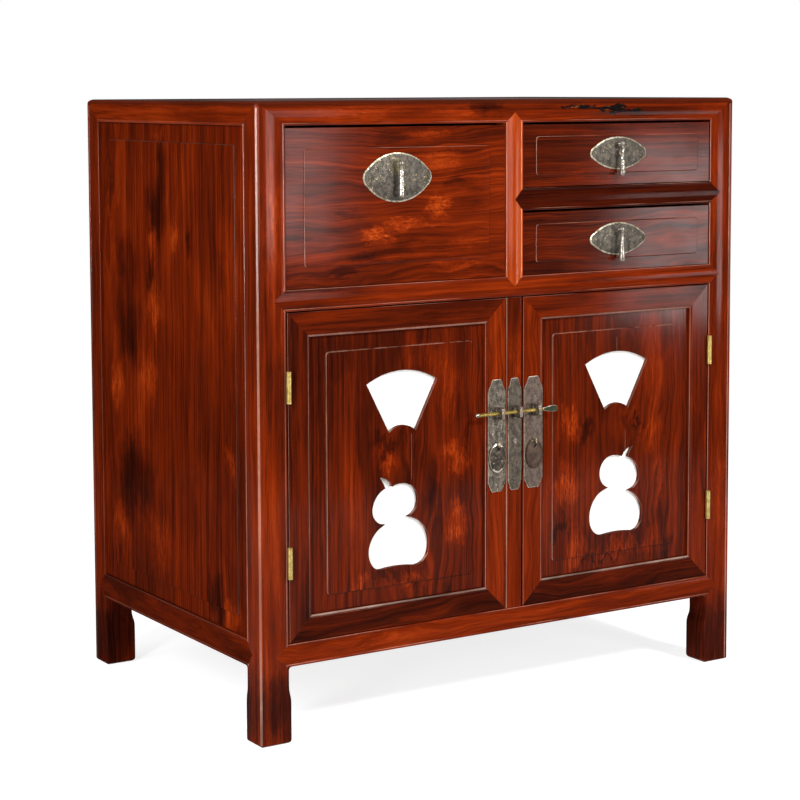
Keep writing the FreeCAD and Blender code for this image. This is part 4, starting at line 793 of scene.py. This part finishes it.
def start_piece(name, add, **settings):
    """Adds one primitive, all selected, and goes into edit mode on it."""
    bpy.ops.object.select_all(action="DESELECT")
    add(**settings)
    piece = bpy.context.object
    piece.name = name
    piece.data.name = name
    bpy.ops.object.mode_set(mode="EDIT")
    bpy.ops.mesh.select_mode(type="VERT")
    bpy.ops.mesh.select_all(action="SELECT")
    return piece


def choose(piece, test):
    """Selects the faces that a test on their middle and normal passes."""
    bpy.ops.mesh.select_mode(type="FACE")
    bpy.ops.mesh.select_all(action="DESELECT")
    work = bmesh.from_edit_mesh(piece.data)
    for face in work.faces:
        face.select_set(test(face.calc_center_median(), face.normal))
    bmesh.update_edit_mesh(piece.data)


def push(*way):
    bpy.ops.transform.translate(value=mm(*way))


def end_piece(piece, *finishes, smooth=30.0):
    """Leaves edit mode, applies the place, and gives the piece its finishes."""
    bpy.ops.mesh.select_all(action="SELECT")
    bpy.ops.mesh.normals_make_consistent(inside=False)
    bpy.ops.object.mode_set(mode="OBJECT")
    bpy.ops.object.transform_apply(location=True, rotation=True, scale=True)
    bpy.ops.object.shade_smooth_by_angle(angle=math.radians(smooth))
    for finish in finishes:
        piece.data.materials.append(finish)
    return piece


def apply_modifier(piece, kind, **settings):
    modifier = piece.modifiers.new(kind.lower(), kind)
    for setting, value in settings.items():
        setattr(modifier, setting, value)
    bpy.context.view_layer.objects.active = piece
    bpy.ops.object.modifier_apply(modifier=modifier.name)


def join_pieces(name, first, *others):
    bpy.ops.object.select_all(action="DESELECT")
    for piece in (first, *others):
        piece.select_set(True)
    bpy.context.view_layer.objects.active = first
    bpy.ops.object.join()
    first.name = name
    first.data.name = name
    return first


def cut_away(piece, cutter):
    apply_modifier(piece, "BOOLEAN", operation="DIFFERENCE", object=cutter, solver="EXACT")
    bpy.data.objects.remove(cutter)


print("pieces can be started, joined and cut")


# %% Sheet
def sheet_piece(name, outline, front, back, edge, rise, skin, rim, faces="y"):
    """Cuts an outline in mm from sheet between two depths and files its front edge.

    The outline's points are (x, z) on a sheet that faces the front, and (y, z) on one that
    stands square to it and faces x."""

    def place(point, depth):
        return (point[0], depth, point[1]) if faces == "y" else (depth, point[0], point[1])

    piece = start_piece(name, bpy.ops.mesh.primitive_plane_add, size=0.001, location=(0, 0, 0))
    bpy.ops.mesh.merge(type="CENTER")
    push(*place(outline[0], front + rise))
    for here, there in zip(outline, outline[1:]):
        way = mm(*place((there[0] - here[0], there[1] - here[1]), 0))
        bpy.ops.mesh.extrude_vertices_move(TRANSFORM_OT_translate={"value": way})
    bpy.ops.mesh.select_all(action="SELECT")
    bpy.ops.mesh.edge_face_add()
    thickness = mm(*place((0, 0), back - front - rise))
    bpy.ops.mesh.extrude_region_move(TRANSFORM_OT_translate={"value": thickness})
    bpy.ops.mesh.select_all(action="SELECT")
    bpy.ops.mesh.normals_make_consistent(inside=False)
    toward = Vector(place((0, 0), -1))
    choose(piece, lambda middle, normal: normal.dot(toward) > 0.9)
    bpy.ops.mesh.inset(thickness=edge / 1000, depth=0)
    push(*place((0, 0), -rise))
    work = bmesh.from_edit_mesh(piece.data)
    for face in work.faces:
        face.material_index = 0 if abs(face.normal.dot(toward)) > 0.99 else 1
    bmesh.update_edit_mesh(piece.data)
    return end_piece(piece, skin, rim, smooth=20.0)


print("sheet can be cut and filed")


# %% Lathe and wire
def turned_piece(name, middle, rings, finish, axis="z", sides=32):
    """Turns a bar: rings of (place along the axis, radius) in mm, starting at the first."""
    turns = {"z": (0, 0, 0), "y": (math.pi / 2, 0, 0), "x": (0, math.pi / 2, 0)}
    way = {"z": Vector((0, 0, 1)), "y": Vector((0, -1, 0)), "x": Vector((1, 0, 0))}[axis]
    at, radius = rings[0]
    place = Vector(mm(*middle)) + way * at / 1000
    settings = {"vertices": sides, "radius": radius / 1000, "fill_type": "NGON"}
    circle = bpy.ops.mesh.primitive_circle_add
    piece = start_piece(name, circle, location=place, rotation=turns[axis], **settings)
    for next_at, next_radius in rings[1:]:
        step_on = way * (next_at - at) / 1000
        bpy.ops.mesh.extrude_region_move(TRANSFORM_OT_translate={"value": step_on})
        place = place + step_on
        bpy.ops.transform.resize(value=(next_radius / radius,) * 3, center_override=place)
        at, radius = next_at, next_radius
    return end_piece(piece, finish, smooth=50.0)


def wire_piece(name, points, radius, finish):
    """Bends a wire through points in mm."""
    bpy.ops.object.select_all(action="DESELECT")
    bpy.ops.curve.primitive_nurbs_path_add(location=(0, 0, 0))
    path = bpy.context.object
    path.name = name
    spline = path.data.splines[0]
    spline.points.add(len(points) - len(spline.points))
    for point, place in zip(spline.points, points):
        point.co = (*mm(*place), 1.0)
    spline.order_u = 3
    spline.use_endpoint_u = True
    path.data.bevel_depth = radius / 1000
    path.data.bevel_resolution = 4
    path.data.resolution_u = 8
    path.data.use_fill_caps = True
    bpy.ops.object.convert(target="MESH")
    piece = bpy.context.object
    piece.data.name = name
    bpy.ops.object.mode_set(mode="EDIT")
    bpy.ops.mesh.select_all(action="SELECT")
    bpy.ops.mesh.remove_doubles(threshold=0.00001)
    return end_piece(piece, finish, smooth=60.0)


print("bars can be turned and wire bent")


# %% Slots and handing over
def slot_cutter(place, size, rounding, along="x"):
    """A block with four rounded edges, to cut a slot that runs along an axis. All in mm."""
    cutter = start_piece("cutter", bpy.ops.mesh.primitive_cube_add, size=1, location=mm(*place))
    bpy.ops.transform.resize(value=mm(*size))
    number = "xyz".index(along)
    bpy.ops.mesh.select_mode(type="EDGE")
    bpy.ops.mesh.select_all(action="DESELECT")
    work = bmesh.from_edit_mesh(cutter.data)
    for edge in work.edges:
        run = (edge.verts[0].co - edge.verts[1].co).normalized()
        edge.select_set(abs(run[number]) > 0.9)
    bmesh.update_edit_mesh(cutter.data)
    bpy.ops.mesh.bevel(offset=rounding / 1000, segments=4)
    return end_piece(cutter)


def hand_over(piece, body, slot, *stood_for):
    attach(piece, body)
    if stood_for:
        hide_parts(*stood_for)
    print(piece.name, len(piece.data.polygons), "faces")


print("slots can be cut and pieces handed over")

# %% [markdown]
# Each drawer has a pointed oval plate, and a drop hangs from a bent wire in its middle. The
# outline is two wide arcs that meet in blunt points, so it is worked out from the arcs' circles.


# %% Oval plates
def arc_points(centre, radius, first, last, count):
    """Points in mm along an arc, from one angle to another in degrees."""
    angles = [math.radians(first + (last - first) * i / count) for i in range(count)]
    return [(centre[0] + radius * math.cos(a), centre[1] + radius * math.sin(a)) for a in angles]


def pointed_oval(middle, wide, high):
    """Two wide arcs above and below, and a small arc round each blunt point."""
    end_x, end_z = 0.88 * wide, 0.36 * high
    sag = high - end_z
    radius = (end_x**2 + sag**2) / (2 * sag)
    half_angle = math.degrees(math.asin(end_x / radius))
    tip = wide - end_x
    tip_radius = (end_z**2 + tip**2) / (2 * tip)
    tip_angle = math.degrees(math.asin(end_z / tip_radius))
    x, z = middle
    points = arc_points((x, z + high - radius), radius, 90 + half_angle, 90 - half_angle, 24)
    points += arc_points((x + wide - tip_radius, z), tip_radius, tip_angle, -tip_angle, 6)
    points += arc_points((x, z - high + radius), radius, -90 + half_angle, -90 - half_angle, 24)
    points += arc_points((x - wide + tip_radius, z), tip_radius, 180 + tip_angle, 180 - tip_angle, 6)
    return points


PLATES = {
    "left": ((-172, 685), 50, 30.5, 702.5),
    "upper": ((172, 708.25), 46.5, 21.5, 720.75),
    "lower": ((172, 595.75), 46.5, 21.5, 608.25),
}
PLATE_FRONT, PLATE_BACK, DROP_AXIS = -232.85, -231.65, -240.85
PLATE_RIM, PLATE_RISE, PIN_INSET = 1.7, 0.55, 9
PIN = [(0, 1.6), (0.35, 1.5), (0.7, 1.0), (0.8, 0.3)]
WASHER = [(0, 10.4), (0.35, 10.2), (0.6, 9.5), (0.45, 8.7), (0.3, 8.3), (0.28, 1.0)]


def drop_staple(name, x, level_z):
    """A wire bent to a bridge that the drop's ball hangs on."""
    half = [(5.4, -225), (5.4, -236), (5.2, DROP_AXIS), (2, DROP_AXIS)]
    wire = [(x - off, y, level_z) for off, y in half]
    wire += [(x + off, y, level_z) for off, y in reversed(half)]
    return wire_piece(name, wire, 1.0, drop_brass)


plate_skins = brasses["plate_patina"], brasses["filed_plate_edge"]
worn_washer = brasses["worn_washer"]
for which, (middle, wide, high, axis_z) in PLATES.items():
    outline = pointed_oval(middle, wide, high)
    sheet = (PLATE_FRONT, PLATE_BACK, PLATE_RIM, PLATE_RISE)
    plate = sheet_piece(f"{which}_plate", outline, *sheet, *plate_skins)
    x = middle[0]
    parts = [drop_staple(f"{which}_staple", x, axis_z)]
    for end in (-1, 1):
        pin_place = (x + end * (wide - PIN_INSET), PLATE_FRONT, middle[1])
        parts.append(turned_piece("pin", pin_place, PIN, worn_washer, "y", 16))
    if which == "left":
        washer_place = (x, PLATE_FRONT, axis_z - 4)
        parts.append(turned_piece("washer", washer_place, WASHER, worn_washer, "y", 40))
    plate = join_pieces(f"{which}_plate", plate, *parts)
    hand_over(plate, f"{which}_drawer", "plate_brass", f"{which}_drawer_pull_plate")

# %% [markdown]
# The drops are turned: a ball that the wire passes through, a short neck, and a stem that
# widens towards a flat end. The left one is heavier and fluted, and the two small ones are
# slim at the neck and swell more.

# %% Drops
BALL = [(3.8, 0.4), (3.65, 1.1), (3.3, 1.9), (2.7, 2.65), (1.6, 3.4), (0, 3.8), (-1.6, 3.4), (-2.7, 2.65)]
COLLAR = [(-3.3, 2.0), (-3.8, 1.9), (-4.4, 3.1), (-5.2, 3.5), (-6.0, 3.1), (-6.6, 2.2)]
FLUTED_STEM = [(-7.2, 3.0), (-9.0, 3.3), (-38.5, 3.6), (-40.6, 3.5), (-41.6, 2.9), (-42.0, 1.6)]
SWELLING_STEM = [(-9.0, 2.1), (-22.0, 2.8), (-36.0, 3.9), (-40.2, 4.1), (-41.5, 3.7), (-42.0, 2.4)]
SIDES, GROOVE_DEPTH = 32, 0.84


def flute(piece, x, top, foot):
    """Draws every fourth pair of upright edges of a turned stem in, between two levels in mm."""
    bpy.ops.object.select_all(action="DESELECT")
    piece.select_set(True)
    bpy.context.view_layer.objects.active = piece
    bpy.ops.object.mode_set(mode="EDIT")
    bpy.ops.mesh.select_mode(type="VERT")
    bpy.ops.mesh.select_all(action="DESELECT")
    work = bmesh.from_edit_mesh(piece.data)
    for vert in work.verts:
        angle = math.atan2(vert.co.y - DROP_AXIS / 1000, vert.co.x - x / 1000)
        number = round(angle / (2 * math.pi) * SIDES) % 4
        vert.select_set(number == 0 and foot / 1000 < vert.co.z < top / 1000)
    bmesh.update_edit_mesh(piece.data)
    axis = (x / 1000, DROP_AXIS / 1000, (top + foot) / 2000)
    bpy.ops.transform.resize(value=(GROOVE_DEPTH, GROOVE_DEPTH, 1), center_override=axis)
    bpy.ops.object.mode_set(mode="OBJECT")


for which, (middle, wide, high, axis_z) in PLATES.items():
    rings = [*BALL, *COLLAR, *(FLUTED_STEM if which == "left" else SWELLING_STEM)]
    place = (middle[0], DROP_AXIS, axis_z)
    drop = turned_piece(f"{which}_drop", place, rings, drop_brass, "z", SIDES)
    if which == "left":
        flute(drop, middle[0], axis_z - 8, axis_z - 40)
    hand_over(drop, f"{which}_drawer_drop", "drop_brass", f"{which}_drawer_drop")

# %% [markdown]
# The lock set is three cut plates, a pierced lug standing out of each, and one rod through the
# lugs. The plates were cut and filed by hand, so their outline is drawn from a few corners and
# then walked round in small steps, each a little off the line.

# %% Lock plates
HAND = random.Random(5)


def hand_cut(corners, stride, wobble):
    """Walks round an outline in mm in strides, a little off the straight line."""
    points = []
    for here, there in zip(corners, corners[1:] + corners[:1]):
        run = math.dist(here, there)
        count = max(1, round(run / stride))
        for i in range(count):
            off = HAND.uniform(-wobble, wobble) if i else 0.0
            x = here[0] + (there[0] - here[0]) * i / count
            z = here[1] + (there[1] - here[1]) * i / count
            points.append((x + (there[1] - here[1]) / run * off, z - (there[0] - here[0]) / run * off))
    return points


LOCK_MIDDLE, LOCK_HALF = 350.5, 72.5
LOCK_TOP_SHARES = [(0.50, 1.0), (0.64, 0.955), (0.69, 0.905), (0.79, 0.865), (0.91, 0.835), (1.0, 0.77)]
LOCK_FOOT_SHARES = [(1.0, -0.82), (0.92, -0.87), (0.80, -0.90), (0.72, -0.95), (0.54, -1.0)]


def lock_plate_outline(x, wide):
    shares = LOCK_TOP_SHARES + LOCK_FOOT_SHARES
    right = [(x + wide * a, LOCK_MIDDLE + LOCK_HALF * b) for a, b in shares]
    left = [(2 * x - a, b) for a, b in reversed(right)]
    return hand_cut(right + left, 5.0, 0.22)


print("lock plates are", LOCK_HALF * 2, "mm high")

# %% [markdown]
# Each lug is one flat piece with a round nose, and its tang goes back through the plate into
# the wood. The rod's slot is cut with a rounded block. The staple of a hanging pull is a wire
# loop whose two legs stand one above the other.

# %% Lugs and pull staples
LUG_TIP, LUG_END, LUG_HALF_WIDE, LUG_HALF_HIGH, LUG_CORNER = -247.35, -216.85, 2.25, 7.75, 3.2
ROD_Y, ROD_Z = -240.85, 380.5
PULL_Z = 339.5


def lug_piece(x):
    top, foot = ROD_Z + LUG_HALF_HIGH, ROD_Z - LUG_HALF_HIGH
    inner = LUG_TIP + LUG_CORNER
    nose = arc_points((inner, foot + LUG_CORNER), LUG_CORNER, 270, 180, 5)
    nose += arc_points((inner, top - LUG_CORNER), LUG_CORNER, 180, 90, 5)
    heel = [(inner, top), (PLATE_FRONT, top), (PLATE_FRONT, ROD_Z + 3), (LUG_END, ROD_Z + 3)]
    heel += [(LUG_END, ROD_Z - 3), (PLATE_FRONT, ROD_Z - 3), (PLATE_FRONT, foot)]
    sides = (x - LUG_HALF_WIDE, x + LUG_HALF_WIDE)
    lug = sheet_piece("lug", nose + heel, *sides, 0.5, 0.25, lug_brass, lug_brass, faces="x")
    cut_away(lug, slot_cutter((x, ROD_Y, ROD_Z), (8, 8.2, 11.5), 2.6))
    return lug


def pull_staple(x):
    legs, crown = (PULL_Z + 3.2, PULL_Z - 3.2), -239.45
    loop = [(x, -221, legs[0]), (x, -235, legs[0]), (x, crown, legs[0] - 0.6), (x, crown, PULL_Z)]
    loop += [(x, crown, legs[1] + 0.6), (x, -235, legs[1]), (x, -221, legs[1])]
    return wire_piece("pull_staple", loop, 0.9, brasses["pale_gold"])


print("lugs and staples are ready to be made")

# %% [markdown]
# The hanging pulls are thick ovals, domed at the front and pierced near the top. A disc is
# stretched to an oval, given its thickness, and domed by insetting its face and lifting it.


# %% Hanging pulls
def hanging_pull(name, x, skin, rim):
    """An oval pull, with its outer ring in a finish of its own."""
    wide, high, back, middle_z = 13.0, 19.0, -233.95, 322
    middle = Vector(mm(x, back, middle_z))
    circle = bpy.ops.mesh.primitive_circle_add
    settings = {"vertices": 48, "radius": wide / 1000, "fill_type": "NGON"}
    pull = start_piece(name, circle, location=middle, rotation=(math.pi / 2, 0, 0), **settings)
    bpy.ops.transform.resize(value=(1, 1, high / wide), center_override=middle)
    bpy.ops.mesh.extrude_region_move(TRANSFORM_OT_translate={"value": mm(0, -0.75, 0)})
    for inward, lift in ((0.7, 0.5), (1.8, 0.33), (2.6, 0.17), (2.4, 0.05)):
        bpy.ops.mesh.inset(thickness=inward / 1000, depth=0)
        push(0, -lift, 0)
    end_piece(pull, skin, rim, smooth=40.0)
    for face in pull.data.polygons:
        away = face.center - middle
        outward = math.hypot(away.x / wide, away.z / high) * 1000
        face.material_index = 1 if outward > 0.90 and len(face.vertices) == 4 else 0
    cut_away(pull, slot_cutter((x, back - 1, 334.5), (5, 6, 7), 2.2, along="y"))
    return pull


print("hanging pulls are ready to be made")

# %% [markdown]
# Each plate gets its lug. The two on the doors also get the staple with its pull, and the one on
# the upright between them gets a rivet instead. The left pull has been handled more, so its rim
# is bright.

# %% Lock sets
LOCKS = {"left": (-23.2, 13.5), "centre": (5.0, 10.5), "right": (34.7, 14.5)}
RIVET = [(0, 3.5), (0.6, 3.45), (1.0, 3.1), (1.05, 2.6), (0.7, 2.2), (0.7, 1.8), (1.0, 1.2), (1.1, 0.3)]
RIVET_Z, LOCK_RIM, LOCK_RISE = 341.5, 0.55, 0.3
for which, (x, wide) in LOCKS.items():
    outline = lock_plate_outline(x, wide)
    sheet = (PLATE_FRONT, PLATE_BACK, LOCK_RIM, LOCK_RISE)
    skin = brasses[f"{which}_lock_patina"]
    plate = sheet_piece(f"{which}_plate_of_lock", outline, *sheet, skin, lock_edge)
    if which == "centre":
        rivet = turned_piece("rivet", (x, PLATE_FRONT, RIVET_Z), RIVET, lug_brass, "y", 24)
        join_pieces(plate.name, plate, lug_piece(x), rivet)
        hand_over(plate, "carcass", "lock_brass", "centre_lock_plate")
        continue
    hand_over(plate, f"{which}_door", "lock_brass", f"{which}_lock_plate")
    lug = join_pieces(f"{which}_lug", lug_piece(x), pull_staple(x))
    hand_over(lug, f"{which}_door", "lock_brass", f"{which}_lock_staples")
    skin = brasses[f"{which}_pull_patina"]
    pull = hanging_pull(f"{which}_hanging_pull", x, skin, lock_edge if which == "left" else skin)
    hand_over(pull, f"{which}_door_pull", "lock_brass", f"{which}_door_pull")

# %% [markdown]
# The rod is turned, with a ball at its left end so that it can't fall out of the lugs, and its
# right end is beaten flat into a small leaf.

# %% Lock rod
ROD_START, ROD_TURN, LEAF_LONG = -59.0, 42.0, 25.0
BALL_RADIUS, ROD_RADIUS, LEAF_HALF_HIGH, LEAF_HALF_THICK = 3.0, 2.3, 8.6, 0.7
LEAF_SHARES = [(0, 0.14), (0.25, 0.26), (0.5, 0.40), (0.75, 0.46), (0.94, 0.36), (1.0, 0.02)]
LEAF_SHARES += [(0.99, -0.36), (0.90, -0.50), (0.7, -0.50), (0.45, -0.42), (0.2, -0.27), (0, -0.16)]

ball = [(a, math.sqrt(BALL_RADIUS**2 - a**2)) for a in (-2.95, -2.7, -2.2, -1.4, 0, 1.0, 1.7)]
rod_long = ROD_TURN - ROD_START
rings = [*ball, (2.2, ROD_RADIUS), (rod_long - 3, ROD_RADIUS), (rod_long + 3, 0.9)]
rod_start = (ROD_START, ROD_Y, ROD_Z)
rod = turned_piece("lock_rod_turned", rod_start, rings, brasses["ochre_rod"], "x", 24)
rod.data.materials.append(drop_brass)
for face in rod.data.polygons:
    face.material_index = 1 if face.center.x * 1000 < ROD_START + 2 else 0
outline = [(ROD_TURN + LEAF_LONG * a, ROD_Z + LEAF_HALF_HIGH * b) for a, b in LEAF_SHARES]
faces = (ROD_Y - LEAF_HALF_THICK, ROD_Y + LEAF_HALF_THICK)
leaf = sheet_piece("leaf", outline, *faces, 0.4, 0.25, brasses["dark_leaf"], lock_edge)
rod = join_pieces("rod_with_leaf", rod, leaf)
hand_over(rod, "lock_rod", "rod_brass", "lock_rod")
